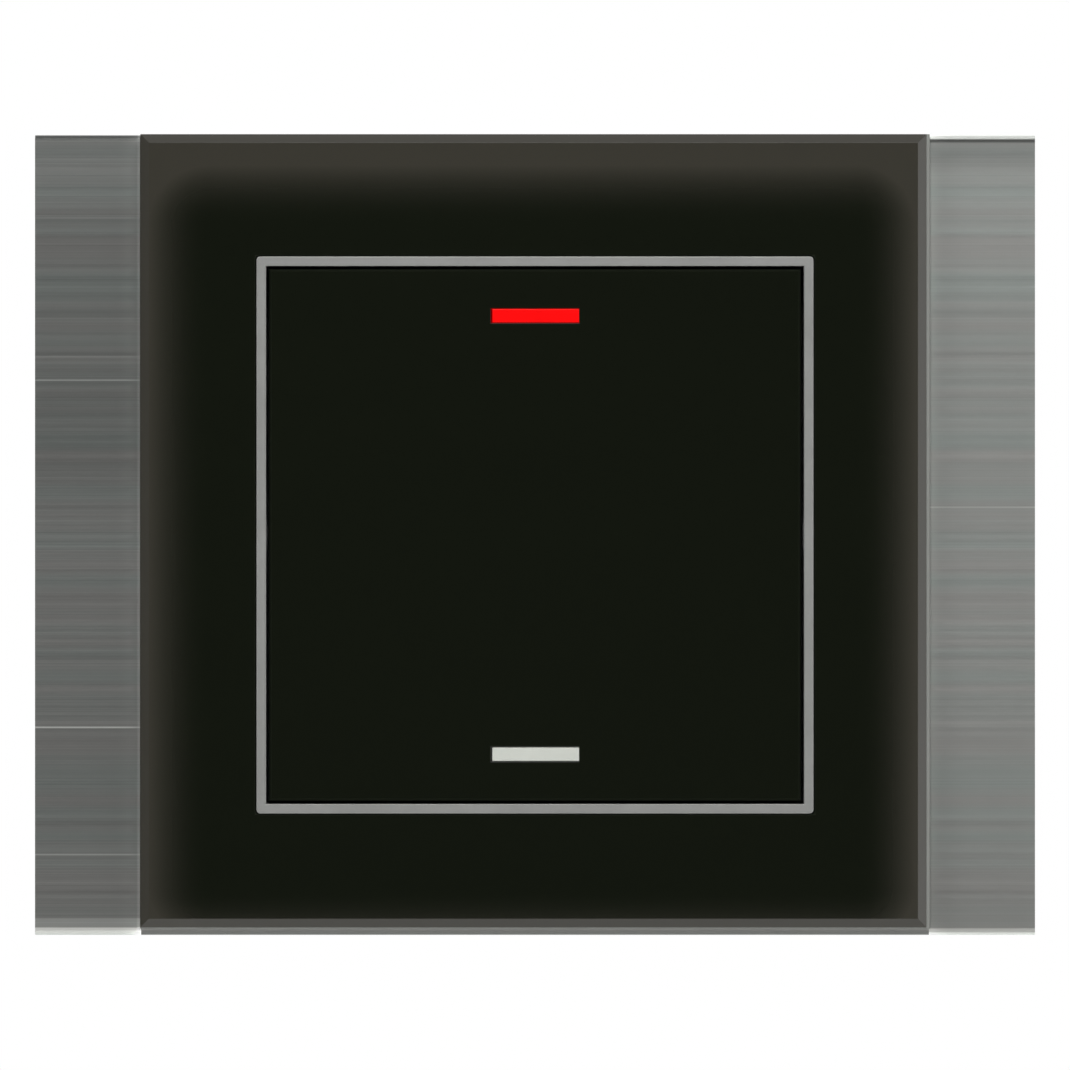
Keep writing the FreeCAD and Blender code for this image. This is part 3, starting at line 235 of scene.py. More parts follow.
def face_outwards(mesh):
    """Turns all faces of a closed mesh outwards."""
    work = bmesh.new()
    work.from_mesh(mesh)
    bmesh.ops.recalc_face_normals(work, faces=work.faces)
    work.to_mesh(mesh)
    work.free()


def placed(name, mesh):
    """Object at the origin that shows the mesh with smooth faces and sharp edges."""
    mesh.shade_smooth()
    mesh.set_sharp_from_angle(angle=SHARP_ANGLE)
    made = bpy.data.objects.new(name, mesh)
    bpy.context.scene.collection.objects.link(made)
    return made


def softened(node_name, width):
    """Copy of a CAD piece with its doubles merged, flat faces joined and sharp edges rounded."""
    mesh = frame["nodes"][node_name].data.copy()
    mesh.materials.clear()
    work = bmesh.new()
    work.from_mesh(mesh)
    bmesh.ops.remove_doubles(work, verts=work.verts, dist=MERGE_DISTANCE)
    bmesh.ops.dissolve_limit(work, angle_limit=FLAT_ANGLE, verts=work.verts, edges=work.edges)
    work.to_mesh(mesh)
    work.free()
    made = placed(node_name + "_finished", mesh)
    edge = made.modifiers.new("edge_rounding", "BEVEL")
    edge.width = width
    edge.segments = ROUNDING_SEGMENTS
    edge.limit_method = "ANGLE"
    edge.angle_limit = SHARP_ANGLE
    edge.harden_normals = True
    return made


def close_slit(piece):
    """Lets the upright sides of the clip frame's lip reach a little behind the button.

    A point whose |x| is that of the lip's inner side moves towards the middle by LIP_REACH, so
    that no light shows past the button.
    """
    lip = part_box("button_glass")[1].x + LIP_PLAY
    points = np.empty(len(piece.data.vertices) * 3)
    piece.data.vertices.foreach_get("co", points)
    x = points[::3]
    x -= np.where(np.abs(np.abs(x) - lip) < TINY, np.sign(x) * LIP_REACH, 0.0)
    piece.data.vertices.foreach_set("co", points)


def glass_plate():
    """Glass frame plate: one closed section carried round the square window.

    A section point at c is a rectangle: near the window the window's own, grown by c, and near
    the outside the plate's outline, grown by c minus the width of the glass. The face and its
    bevel end short of the outline on the right and below, where a narrow ground ledge is left.
    """
    low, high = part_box("glass_frame_plate")
    width = high.x - WINDOW_HALF
    front, rear = low.y, high.y
    corners = [(0, front), (width - GLASS_BEVEL, front), (width, front + GLASS_BEVEL),
               (width, rear), (0, rear)]
    radii = [GLASS_ARRIS] * 2 + [EDGE_ROUNDING] * 3
    c, y = rounded_section(corners, radii, closed=True).T
    outside = c > width / 2
    out = c - width
    ahead = np.where(y < front + GLASS_BEVEL + GROUND_DEPTH, 1.0, 0.0)
    x0 = np.where(outside, low.x - out, -WINDOW_HALF - c)
    x1 = np.where(outside, high.x + out - GROUND_RIGHT * ahead, WINDOW_HALF + c)
    z0 = np.where(outside, low.z - out + GROUND_BOTTOM * ahead, -WINDOW_HALF - c)
    z1 = np.where(outside, high.z + out, WINDOW_HALF + c)
    corner = np.maximum(np.where(outside, EDGE_ROUNDING + out, WINDOW_CORNER + c), TINY)
    grid = rounded_outlines(x0, x1, z0, z1, corner, y)
    return skin("glass_plate", grid, wrap_rows=True)


def ring():
    """Trim ring: a thin wall with a flange behind, carried round a square with rounded corners."""
    low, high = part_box("trim_ring")
    reach = high.x - RING_HALF
    front, rear = low.y, high.y
    flange = rear - FLANGE_THICKNESS
    corners = [(-RING_WALL, front), (0, front), (0, flange), (reach, flange),
               (reach, rear), (-RING_WALL, rear)]
    c, y = rounded_section(corners, [RING_ROUNDING] * len(corners), closed=True).T
    side = RING_HALF + c
    corner = np.maximum(RING_CORNER + c, TINY)
    grid = rounded_outlines(-side, side, -side, side, corner, y)
    return skin("trim_ring_finished", grid, wrap_rows=True)


def light_bar(node_name):
    """Light guide: front bar, flange and tail, as a stepped section carried round a rectangle.

    A section point at c is the rectangle of the front bar, grown by c on all sides. The section
    starts and ends a quarter of the bar's height inside it, and one face closes each end.
    """
    low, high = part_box(node_name)
    inset = BAR_FLANGE + BAR_INSET
    x0, x1 = low.x + inset + BAR_SHIFT, high.x - inset + BAR_SHIFT
    z0, z1 = low.z + inset, high.z - inset
    step = low.y + BUTTON_GLASS_THICKNESS
    inner = (z0 - z1) / 4
    corners = [(inner, low.y), (0, low.y), (0, step), (BAR_FLANGE, step),
               (BAR_FLANGE, step + BAR_FLANGE_THICKNESS), (0, step + BAR_FLANGE_THICKNESS),
               (0, high.y), (inner, high.y)]
    c, y = rounded_section(corners, [BAR_ROUNDING] * len(corners), closed=False).T
    corner = np.maximum(BAR_ROUNDING + c, TINY)
    grid = rounded_outlines(x0 - c, x1 + c, z0 - c, z1 + c, corner, y)
    return skin(node_name + "_finished", grid)


def return_spring(node_name):
    """Coil spring: a circle carried along the helix (r cos a, h(t), r sin a), a = 2 pi turns t.

    Its climb h = low + rise (t - k sin(2 pi t) / (2 pi)), where k is CLOSED_END, is slower at both
    ends, as the turns of a real spring lie closer together there. The helix ends one and a half
    wire radii inside the spring's box.
    """
    low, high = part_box(node_name)
    mid = (low.z + high.z) / 2
    wire = SPRING_WIRE / 2
    radius = (high.z - low.z) / 2 - wire
    margin = 1.5 * wire
    first, rise = low.y + margin, high.y - low.y - 2 * margin
    t = np.linspace(0, 1, SPRING_TURNS * COIL_STEPS + 1)
    angle = 2 * math.pi * SPRING_TURNS * t
    climb = first + rise * (t - CLOSED_END * np.sin(2 * math.pi * t) / (2 * math.pi))
    outward = np.stack([np.cos(angle), np.zeros_like(t), np.sin(angle)], axis=-1)
    centre = outward * radius + np.stack([np.zeros_like(t), climb, np.full_like(t, mid)], axis=-1)
    along = np.gradient(centre, axis=0)
    along /= np.linalg.norm(along, axis=1, keepdims=True)
    across = np.cross(along, outward)
    turn = np.linspace(0, 2 * math.pi, WIRE_STEPS, endpoint=False)[None, :, None]
    grid = centre[:, None] + wire * (np.cos(turn) * outward[:, None] + np.sin(turn) * across[:, None])
    return skin(node_name + "_finished", grid)


# Materials

# Between these two lie most values of a noise
NOISE_RANGE = (0.3, 0.7)

# Share of the fine grain in a surface's change of tone, and how far its roughness swings
GRAIN_SHARE = 0.6
POLISH_SWING = 0.06


def node(tree, kind, inputs=None, **settings):
    """Adds a shader node; inputs maps its sockets to values or to other nodes' sockets."""
    made = tree.nodes.new("ShaderNode" + kind)
    for key, value in settings.items():
        setattr(made, key, value)
    for key, value in (inputs or {}).items():
        if isinstance(value, bpy.types.NodeSocket):
            tree.links.new(value, made.inputs[key])
        else:
            made.inputs[key].default_value = value
    return made


def maths(tree, operation, *values, clamp=False):
    """Result of a sum, product or other operation on numbers or sockets."""
    made = node(tree, "Math", dict(enumerate(values)), operation=operation, use_clamp=clamp)
    return made.outputs[0]


def spread(tree, value, low, high, to_low, to_high):
    """Maps a value from one range to another, and holds it there."""
    limits = dict(enumerate((value, low, high, to_low, to_high)))
    return node(tree, "MapRange", limits).outputs[0]


def stretched(tree, noise, to_low, to_high):
    """Maps the common values of a noise to a range, and holds the rare ones at its ends."""
    return spread(tree, noise, *NOISE_RANGE, to_low, to_high)


def mixed(tree, factor, first, second):
    """Colour between the first one, where the factor is 0, and the second, where it is 1."""
    made = node(tree, "Mix", {0: factor, 6: first, 7: second}, data_type="RGBA")
    return made.outputs[2]


def tinted(tree, colour, tone):
    """Colour, as four numbers or a socket, times a grey tone."""
    made = node(tree, "Mix", {0: 1.0, 6: colour, 7: tone}, data_type="RGBA", blend_type="MULTIPLY")
    return made.outputs[2]


def grey_ramp(tree, value, stops):
    """Grey along a value from 0 to 1: each stop is a place on it and the level there."""
    ramp = node(tree, "ValToRGB", {0: value})
    steps = ramp.color_ramp.elements
    while len(steps) < len(stops):
        steps.new(0.5)
    for step, (place, level) in zip(steps, stops):
        step.position = place
        step.color = (level, level, level, 1.0)
    return ramp.outputs[0]


def grains(tree, coords, lengths, detail=2.0):
    """Noise whose grains have the given lengths, in metres, along X, Y and Z."""
    scale = [1 / length for length in lengths]
    mapped = node(tree, "Mapping", {"Vector": coords, "Scale": scale}).outputs[0]
    return node(tree, "TexNoise", {"Vector": mapped, "Scale": 1.0, "Detail": detail}).outputs[0]


def even(size):
    """Grain lengths that are the same along X, Y and Z, from a size in millimetres."""
    return (size * MM, size * MM, size * MM)


def opaque(colour, tone=1.0):
    """Colour times a tone, as the four numbers of a colour socket."""
    return (colour[0] * tone, colour[1] * tone, colour[2] * tone, 1.0)


def varied(tree, factor, colour, swing):
    """Colour that goes from darker to lighter by the swing, as the factor goes from 0 to 1."""
    return mixed(tree, factor, opaque(colour, 1 - swing), opaque(colour, 1 + swing))


def blank(name, sockets):
    """New material: its node tree, surface node and object coordinates."""
    made = bpy.data.materials.new(name)
    made.use_nodes = True
    tree = made.node_tree
    surface = tree.nodes["Principled BSDF"]
    for key, value in sockets.items():
        surface.inputs[key].default_value = value
    coords = node(tree, "TexCoord").outputs["Object"]
    return made, tree, surface, coords


def bump(tree, surface, height, depth):
    """Relief of the given depth on a surface, which follows a height from 0 to 1."""
    made = node(tree, "Bump", {"Strength": 1.0, "Distance": depth, "Height": height})
    tree.links.new(made.outputs[0], surface.inputs["Normal"])


def grained(name, colour, roughness, lengths, contrast, depth=0.0, cloud=4 * MM, **sockets):
    """Surface with fine grain over a slow change of tone and of polish."""
    made, tree, surface, coords = blank(name, sockets)
    grain = grains(tree, coords, lengths)
    slow = grains(tree, coords, (cloud, cloud, cloud), detail=3.0)
    tone = maths(tree, "ADD", maths(tree, "MULTIPLY", grain, GRAIN_SHARE),
                 maths(tree, "MULTIPLY", slow, 1 - GRAIN_SHARE))
    shade = varied(tree, stretched(tree, tone, 0.0, 1.0), colour, contrast)
    tree.links.new(shade, surface.inputs["Base Color"])
    polish = stretched(tree, slow, (1 - POLISH_SWING) * roughness,
                       min(1.0, (1 + POLISH_SWING) * roughness))
    tree.links.new(polish, surface.inputs["Roughness"])
    if depth:
        bump(tree, surface, grain, depth)
    return made


def axis(tree, coords, which):
    """Distance along X, Y or Z, for which = 0, 1 or 2."""
    return node(tree, "SeparateXYZ", {0: coords}).outputs[which]


# Black glass: its own colour, and those of its margin, paled by painted reflection, its arris, darkened
# by painted shade, and its ground ledge, paled partly by a painted highlight
GLASS_COLOUR = (0.0048, 0.0063, 0.0031)
EDGE_REFLECTION_COLOUR = (0.0385, 0.0362, 0.0283)
ARRIS_SHADE_COLOUR = (0.0145, 0.0172, 0.0114)
GROUND_AND_HIGHLIGHT_COLOUR = (0.222, 0.229, 0.213)
GLASS_SWING = 0.06
GLASS_ROUGHNESS = (0.02, 0.05)
ARRIS_ROUGHNESS = 0.6
WIPE_LENGTHS = (30 * MM, 30 * MM, 6 * MM)
WIPE_RANGE = (0.35, 0.7)

# The arris is painted dark, painted shade that keeps highlights off it, between these two distances from
# the middle
BUTTON_ARRIS = (28.26 * MM, 29 * MM)
WINDOW_ARRIS = (29.8 * MM, 30.03 * MM)

# Painted reflection that pales the margin of the frame plate: on each side the place where it starts,
# and where it is or would be full. On the lower bevel, where it paints the floor's reflection, it has a
# share of its own, which sets in at the bend.
MARGIN_RIGHT = (34.5 * MM, 40.7 * MM)
MARGIN_LEFT = (-34.7 * MM, -41.5 * MM)
MARGIN_TOP = (33.2 * MM, 39.6 * MM)
MARGIN_BOTTOM = (-37.7 * MM, -43.5 * MM)
LOWER_BEND = (-41.05 * MM, -41.15 * MM)
LOWER_BEVEL_REFLECTION = 0.96
MARGIN_POWER = 2.5


def glass_surface(name, arris, plate):
    """Polished black glass with faint wipe marks and a matt arris painted dark, painted shade.

    The arris lies where the larger of |x| and |z| is between the two given distances. The frame plate
    also has a margin paled by painted reflection, and a pale ground ledge along its right and lower
    edges, pale partly by a painted highlight.
    """
    made, tree, surface, coords = blank(name, {"IOR": 1.5})
    wipe = grains(tree, coords, WIPE_LENGTHS, detail=3.0)
    polish = spread(tree, wipe, *WIPE_RANGE, *GLASS_ROUGHNESS)
    across = maths(tree, "ABSOLUTE", axis(tree, coords, 0))
    reach = maths(tree, "MAXIMUM", across, maths(tree, "ABSOLUTE", axis(tree, coords, 2)))
    # Painted shade: the arris is made dark, metallic and matt so that it shows no highlight
    black = maths(tree, "MULTIPLY", maths(tree, "GREATER_THAN", reach, arris[0]),
                  maths(tree, "LESS_THAN", reach, arris[1]))
    matt = black
    core = varied(tree, wipe, GLASS_COLOUR, GLASS_SWING)
    if plate:
        # Painted reflection: the plate pales towards its edges
        core = mixed(tree, edge_reflection_amount(tree, coords), core, opaque(EDGE_REFLECTION_COLOUR))
        # The ledge's pale colour is partly its ground finish and partly a painted highlight along the
        # right and lower edge
        ledge = ledge_amount(tree, coords)
        core = mixed(tree, ledge, core, opaque(GROUND_AND_HIGHLIGHT_COLOUR))
        matt = maths(tree, "MAXIMUM", black, ledge)
    core = mixed(tree, black, core, opaque(ARRIS_SHADE_COLOUR))
    polish = maths(tree, "ADD", polish, maths(tree, "MULTIPLY", matt, ARRIS_ROUGHNESS))
    tree.links.new(polish, surface.inputs["Roughness"])
    tree.links.new(black, surface.inputs["Metallic"])
    tree.links.new(core, surface.inputs["Base Color"])
    return made


def ledge_amount(tree, coords):
    """1 on the ground ledge at the front of the plate's right and lower edge, and 0 elsewhere."""
    low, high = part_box("glass_frame_plate")
    right = maths(tree, "GREATER_THAN", axis(tree, coords, 0), high.x - GROUND_RIGHT)
    foot = maths(tree, "LESS_THAN", axis(tree, coords, 2), low.z + GROUND_BOTTOM)
    ahead = maths(tree, "LESS_THAN", axis(tree, coords, 1), low.y + GLASS_BEVEL + 2 * GROUND_DEPTH)
    return maths(tree, "MULTIPLY", maths(tree, "MAXIMUM", right, foot), ahead)


def edge_reflection_amount(tree, coords):
    """Share of the painted reflection at the margin: (distance into it over its width) to the power
    MARGIN_POWER.

    The distance is that of a point to the dark middle field, whose four sides lie at their own
    distance from the edge and whose margins have their own widths.
    """
    x, z = axis(tree, coords, 0), axis(tree, coords, 2)
    right = spread(tree, x, *MARGIN_RIGHT, 0.0, 1.0)
    left = spread(tree, x, *MARGIN_LEFT, 0.0, 1.0)
    top = spread(tree, z, *MARGIN_TOP, 0.0, 1.0)
    bottom = spread(tree, z, *MARGIN_BOTTOM, 0.0, 1.0)
    # Painted reflection of the floor on the lower bevel
    bottom = maths(tree, "MAXIMUM", bottom, spread(tree, z, *LOWER_BEND, 0.0, LOWER_BEVEL_REFLECTION))
    sideways = maths(tree, "MAXIMUM", left, right)
    upright = maths(tree, "MAXIMUM", top, bottom)
    squares = maths(tree, "ADD", maths(tree, "POWER", sideways, 2.0), maths(tree, "POWER", upright, 2.0))
    return maths(tree, "POWER", squares, MARGIN_POWER / 2, clamp=True)


# Brushed metal: its colour, the two tints that it drifts between, and the tint of its sides
METAL_COLOUR = (0.305, 0.307, 0.298)
COOL_TINT = (0.95, 1.022, 1.0, 1.0)
WARM_TINT = (1.0, 0.994, 0.98, 1.0)
SIDE_TINT = (1.0, 1.0, 0.985, 1.0)
METAL_ROUGHNESS = (0.36, 0.46)

# Lengths along X, Y and Z of the fine hairs, the wider streaks and the drift of the tint
HAIR_LENGTHS = (4000 * MM, 0.3 * MM, 0.16 * MM)
STREAK_LENGTHS = (5000 * MM, 1.2 * MM, 0.9 * MM)
TINT_LENGTHS = (5000 * MM, 3 * MM, 2 * MM)
TINT_RANGE = (0.35, 0.65)
HAIR_DEPTH = 0.002 * MM

# Strength of the fine hairs and the wider streaks, on the left and on the right wing
HAIR_TONE = (0.095, 0.05)
STREAK_TONE = (0.035, 0.012)

# The left wing ends and the right wing starts within this distance of the middle
WING_CHANGE = 1 * MM

# Highest tone that a tone ramp can hold
MOST_TONE = 5.0

# Tones of the two wings, painted light and shade: each stop is a height in millimetres and the tone
# there. The bands run over the whole wing and paint the shade that makes the left wing darker than the
# right, and the edges brighten or darken them along the rounded top and bottom with painted highlights
# and shade. Each thin bright line, a scratch drawn as a painted highlight, is a height in millimetres
# and its strength.
LEFT_SHADING_BANDS = ((-43, 0.54), (-35, 0.56), (-31, 0.51), (-27, 0.52), (-20, 0.54), (0, 0.57), (5, 0.51),
              (8, 0.45), (16, 0.44), (19, 0.48), (28, 0.48), (34, 0.49), (37, 0.57), (43, 0.57))
# Left wing: painted highlight along the rounded bottom edge, then painted shade with a thin painted
# highlight along the top edge
LEFT_BOTTOM_HIGHLIGHT = ((-43, 4.4), (-42.75, 4.3), (-42.5, 3.6), (-42.25, 3.7), (-42.12, 1.63), (-41.25, 1.6),
               (-41.12, 1.0))
LEFT_TOP_LIGHT_AND_SHADE = ((41.2, 1.0), (41.7, 0.9), (42.2, 0.95), (42.3, 1.13), (42.41, 0.9), (42.52, 0.42),
            (42.62, 0.34), (42.73, 0.48), (43, 0.48))
RIGHT_SHADING_BANDS = ((-43, 0.78), (-39, 0.81), (-33, 0.85), (-25, 0.88), (-10, 0.94), (2, 0.94), (8, 0.93),
               (18, 0.91), (22, 0.89), (26, 0.91), (33, 0.92), (38.5, 0.93), (40.3, 0.73), (43, 0.7))
# Right wing: painted highlight along the rounded bottom edge, then painted shade and a bright painted
# highlight along the top edge
RIGHT_BOTTOM_HIGHLIGHT = ((-43, 3.7), (-42.84, 3.55), (-42.73, 2.7), (-42.64, 1.7), (-42.4, 2.0), (-42.3, 1.7),
                (-42.2, 1.08), (-41.6, 1.0))
RIGHT_TOP_LIGHT_AND_SHADE = ((42.1, 1.0), (42.2, 0.66), (42.3, 0.36), (42.41, 0.26), (42.52, 0.36), (42.62, 1.2),
             (42.73, 3.15), (42.84, 3.4), (43, 3.4))
# Thin scratch lines, drawn as painted highlights
LEFT_SCRATCH_HIGHLIGHTS = ((34.1, 0.3), (19.15, 0.5), (16.65, 1.35), (-20.68, 2.0), (-34.35, 1.0))
RIGHT_SCRATCH_HIGHLIGHTS = ((2.98, 0.6), (-1.5, 0.15))
LINE_HALF_WIDTH = 0.13 * MM

# Both wings get lighter towards the glass, painted light that fills in the glass's shadow, and the left
# one once more in a narrow rim beside it, a painted highlight
LEFT_SHADOW_FILL = 0.8
RIGHT_SHADOW_FILL = 0.42
GLASS_SIDE_WIDTH = 3.4 * MM
GLASS_SIDE_POWER = 3.0
LEFT_RIM_HIGHLIGHT = 1.5
RIM_WIDTH = 0.5 * MM

# The lip under the glass is lighter right below the glass, painted light where the glass shades it, and
# the sides start behind the face
LIP_TOP = -42 * MM
LIP_TONE = 0.62
LIP_SHADOW_FILL = 1.5
LIP_FADE = 0.35 * MM
SIDE_TONE = 0.85
FACE_DEPTH = 0.62 * MM
SIDE_FADE = 0.2 * FACE_DEPTH


def tone_ramp(tree, z, stops):
    """Tone along the height, from stops that are a height in millimetres and the tone there."""
    first, last = stops[0][0], stops[-1][0]
    levels = [((height - first) / (last - first), tone / MOST_TONE) for height, tone in stops]
    ramp = grey_ramp(tree, spread(tree, z, first * MM, last * MM, 0.0, 1.0), levels)
    return maths(tree, "MULTIPLY", ramp, MOST_TONE)


def wing_tone(tree, z, bands, edges, lines, glass_side):
    """Tone of one wing: bands of painted light and shade, painted highlights and shade at the edges, and
    thin bright lines that are painted highlights, all along its height.

    It rises towards the glass by glass_side, painted light that fills the glass's shadow, a socket with
    the share for each point.
    """
    # Painted bands of light and shade, times the painted highlights and shade of the edges
    tone = tone_ramp(tree, z, bands)
    for edge in edges:
        tone = maths(tree, "MULTIPLY", tone, tone_ramp(tree, z, edge))
    lift = maths(tree, "ADD", glass_side, 1.0)
    # Painted highlights of the scratch lines
    for height, strength in lines:
        gap = maths(tree, "ABSOLUTE", maths(tree, "SUBTRACT", z, height * MM))
        lift = maths(tree, "ADD", spread(tree, gap, 0.0, LINE_HALF_WIDTH, strength, 0.0), lift)
    return maths(tree, "MULTIPLY", tone, lift)


def by_wing(tree, x, left, right):
    """The first number on the left wing, and the second on the right wing."""
    return spread(tree, x, -WING_CHANGE, WING_CHANGE, left, right)


def front_tone(tree, x, z):
    """Painted light and shade of the front: the two wings, lifted beside the glass, and the lip."""
    low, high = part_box("glass_frame_plate")
    across = maths(tree, "ABSOLUTE", x)
    # Painted light that fills the glass's shadow on the wings, and a painted highlight in a rim beside
    # it
    close = spread(tree, across, high.x, high.x + GLASS_SIDE_WIDTH, 1.0, 0.0)
    close = maths(tree, "POWER", close, GLASS_SIDE_POWER)
    rim = spread(tree, across, high.x, high.x + RIM_WIDTH, LEFT_RIM_HIGHLIGHT, 0.0)
    left_side = maths(tree, "ADD", maths(tree, "MULTIPLY", close, LEFT_SHADOW_FILL), rim)
    right_side = maths(tree, "MULTIPLY", close, RIGHT_SHADOW_FILL)
    left = wing_tone(tree, z, LEFT_SHADING_BANDS, (LEFT_BOTTOM_HIGHLIGHT, LEFT_TOP_LIGHT_AND_SHADE), LEFT_SCRATCH_HIGHLIGHTS, left_side)
    right = wing_tone(tree, z, RIGHT_SHADING_BANDS, (RIGHT_BOTTOM_HIGHLIGHT, RIGHT_TOP_LIGHT_AND_SHADE), RIGHT_SCRATCH_HIGHLIGHTS, right_side)
    wings = mixed(tree, by_wing(tree, x, 0.0, 1.0), left, right)
    lip = maths(tree, "MULTIPLY", maths(tree, "LESS_THAN", z, LIP_TOP),
                maths(tree, "LESS_THAN", across, high.x))
    # Painted light right below the glass, where the glass shades the lip
    lip_tone = spread(tree, z, low.z - LIP_FADE, low.z, LIP_TONE, LIP_SHADOW_FILL)
    return mixed(tree, lip, wings, lip_tone)


def brushed_base():
    """Aluminium brushed along its width: fine hairs, wider streaks and a slow drift of the tint.

    Bands, lines and bright edges show on the front of the wings as painted light and shade, and the
    sides keep one tone.
    """
    made, tree, surface, coords = blank("brushed_aluminium", {"Metallic": 0.7})
    x, z = axis(tree, coords, 0), axis(tree, coords, 2)
    side_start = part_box("metal_frame")[0].y + FACE_DEPTH
    deep = spread(tree, axis(tree, coords, 1), side_start, side_start + SIDE_FADE, 0.0, 1.0)
    # The painted light and shade of the front, and one plain tone on the sides
    tone = mixed(tree, deep, front_tone(tree, x, z), opaque((SIDE_TONE, SIDE_TONE, SIDE_TONE)))
    hair = grains(tree, coords, HAIR_LENGTHS, detail=1.0)
    streak = grains(tree, coords, STREAK_LENGTHS, detail=2.0)
    drift = grains(tree, coords, TINT_LENGTHS, detail=1.0)
    hairs = maths(tree, "MULTIPLY", stretched(tree, hair, -1.0, 1.0), by_wing(tree, x, *HAIR_TONE))
    streaks = maths(tree, "MULTIPLY", stretched(tree, streak, -1.0, 1.0), by_wing(tree, x, *STREAK_TONE))
    brushing = maths(tree, "ADD", maths(tree, "ADD", hairs, streaks), 1.0)
    tint = mixed(tree, spread(tree, drift, *TINT_RANGE, 0.0, 1.0), COOL_TINT, WARM_TINT)
    tint = mixed(tree, deep, tint, SIDE_TINT)
    shade = tinted(tree, tinted(tree, tinted(tree, opaque(METAL_COLOUR), tint), tone), brushing)
    tree.links.new(shade, surface.inputs["Base Color"])
    tree.links.new(stretched(tree, streak, *METAL_ROUGHNESS), surface.inputs["Roughness"])
    bump(tree, surface, hair, HAIR_DEPTH)
    return made


# How far the cast plastic of the light bars is lighter or darker in places
BAR_SWING = 0.05


def lit_bar(name, colour, glow):
    """Light guide: slightly uneven cast plastic, lit from behind by its lamp."""
    made, tree, surface, coords = blank(name, {"Roughness": 0.25, "Specular IOR Level": 0.2,
                                               "Emission Strength": glow})
    shade = varied(tree, grains(tree, coords, even(2.5)), colour, BAR_SWING)
    tree.links.new(shade, surface.inputs["Base Color"])
    tree.links.new(shade, surface.inputs["Emission Color"])
    return made


def turned_flat(tree, coords):
    """Coordinates turned so that a pattern in the XY plane lies in the XZ plane."""
    parts = node(tree, "SeparateXYZ", {0: coords})
    swapped = {0: parts.outputs[0], 1: parts.outputs[2], 2: parts.outputs[1]}
    return node(tree, "CombineXYZ", swapped).outputs[0]


LACQUER_COLOUR = (0.018, 0.13, 0.05)
TRACK_COLOUR = (0.035, 0.2, 0.085)
TRACK_HEIGHT = 0.02 * MM


def circuit_board():
    """Green lacquer over copper tracks, which are the narrow seams of a brick pattern."""
    made, tree, surface, coords = blank("circuit_board", {"Roughness": 0.3, "Coat Weight": 0.4})
    bricks = node(tree, "TexBrick", {"Vector": turned_flat(tree, coords), "Scale": 330.0,
                                     "Mortar Size": 0.03, "Brick Width": 0.9, "Row Height": 0.55})
    seams = bricks.outputs[1]
    shade = mixed(tree, seams, opaque(LACQUER_COLOUR), opaque(TRACK_COLOUR))
    tree.links.new(shade, surface.inputs["Base Color"])
    bump(tree, surface, seams, TRACK_HEIGHT)
    return made


# Material of each slot in the record: colour, roughness, grain, contrast and depth of the relief
MATERIALS = {
    "base_metal": brushed_base(),
    "black_glass": glass_surface("black_glass", BUTTON_ARRIS, plate=False),
    "bond_foam": grained("bond_foam", (0.02, 0.02, 0.02), 0.9, even(0.25), 0.35, 0.05 * MM),
    "ring_metal": grained("satin_ring", (0.291, 0.293, 0.283), 0.42, even(0.18), 0.05, 0.002 * MM,
                          Metallic=0.45),
    "dark_plastic": grained("dark_plastic", (0.026, 0.026, 0.028), 0.55, even(0.22), 0.12, 0.006 * MM),
    "screw_steel": grained("screw_steel", (0.52, 0.51, 0.49), 0.34, even(0.3), 0.1, 0.003 * MM,
                           Metallic=1.0),
    "bracket_steel": grained("zinc_plated_steel", (0.5, 0.505, 0.5), 0.38,
                             (6 * MM, 1 * MM, 0.5 * MM), 0.12, 0.003 * MM, cloud=14 * MM, Metallic=1.0),
    "film": grained("insulating_film", (0.6, 0.55, 0.36), 0.3, even(1.0), 0.06),
    "light_plastic": grained("pale_plastic", (0.66, 0.66, 0.62), 0.5, even(0.25), 0.03, 0.005 * MM),
    "board_green": circuit_board(),
    "led_red": grained("red_lamp", (0.6, 0.02, 0.02), 0.2, even(0.5), 0.08),
    "led_white": grained("white_lamp", (0.75, 0.74, 0.6), 0.25, even(0.5), 0.05),
    "chip_black": grained("chip_black", (0.02, 0.02, 0.021), 0.6, even(0.1), 0.2, 0.004 * MM),
    "pin_metal": grained("tinned_pin", (0.6, 0.58, 0.5), 0.3, even(0.2), 0.08, Metallic=1.0),
    "housing_plastic": grained("housing_plastic", (0.095, 0.1, 0.105), 0.58, even(0.3), 0.08, 0.01 * MM),
    "contact_plastic": grained("contact_plastic", (0.5, 0.45, 0.34), 0.55, even(0.25), 0.05, 0.006 * MM),
    "copper_strip": grained("copper_strip", (0.72, 0.38, 0.22), 0.3, (0.2 * MM, 4 * MM, 4 * MM), 0.08,
                            0.002 * MM, Metallic=1.0),
    "silver_tip": grained("silver_tip", (0.75, 0.74, 0.71), 0.3, even(0.15), 0.06, 0.002 * MM,
                          Metallic=1.0),
    "terminal_brass": grained("terminal_brass", (0.7, 0.52, 0.25), 0.32,
                              (0.15 * MM, 3 * MM, 0.15 * MM), 0.1, 0.003 * MM, Metallic=1.0),
    "bar_red": lit_bar("red_light_bar", (0.86, 0.0015, 0.002), 0.1),
    "bar_white": lit_bar("white_light_bar", (0.54, 0.56, 0.515), 0.03),
    "spring_steel": grained("spring_steel", (0.5, 0.5, 0.49), 0.28, even(0.4), 0.08, Metallic=1.0),
}
PLATE_GLASS = glass_surface("black_glass_edge_reflection", WINDOW_ARRIS, plate=True)


# Pieces

SLOT_OF = {part["node"]: part["material_slot"] for part in frame["record"]["subparts"]}


def finish_piece(piece, node_name, surface=None):
    """Gives a new piece its material and slot, and lets it stand for its CAD node."""
    slot = SLOT_OF[node_name]
    piece.data.materials.append(surface or MATERIALS[slot])
    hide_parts(node_name)
    return piece


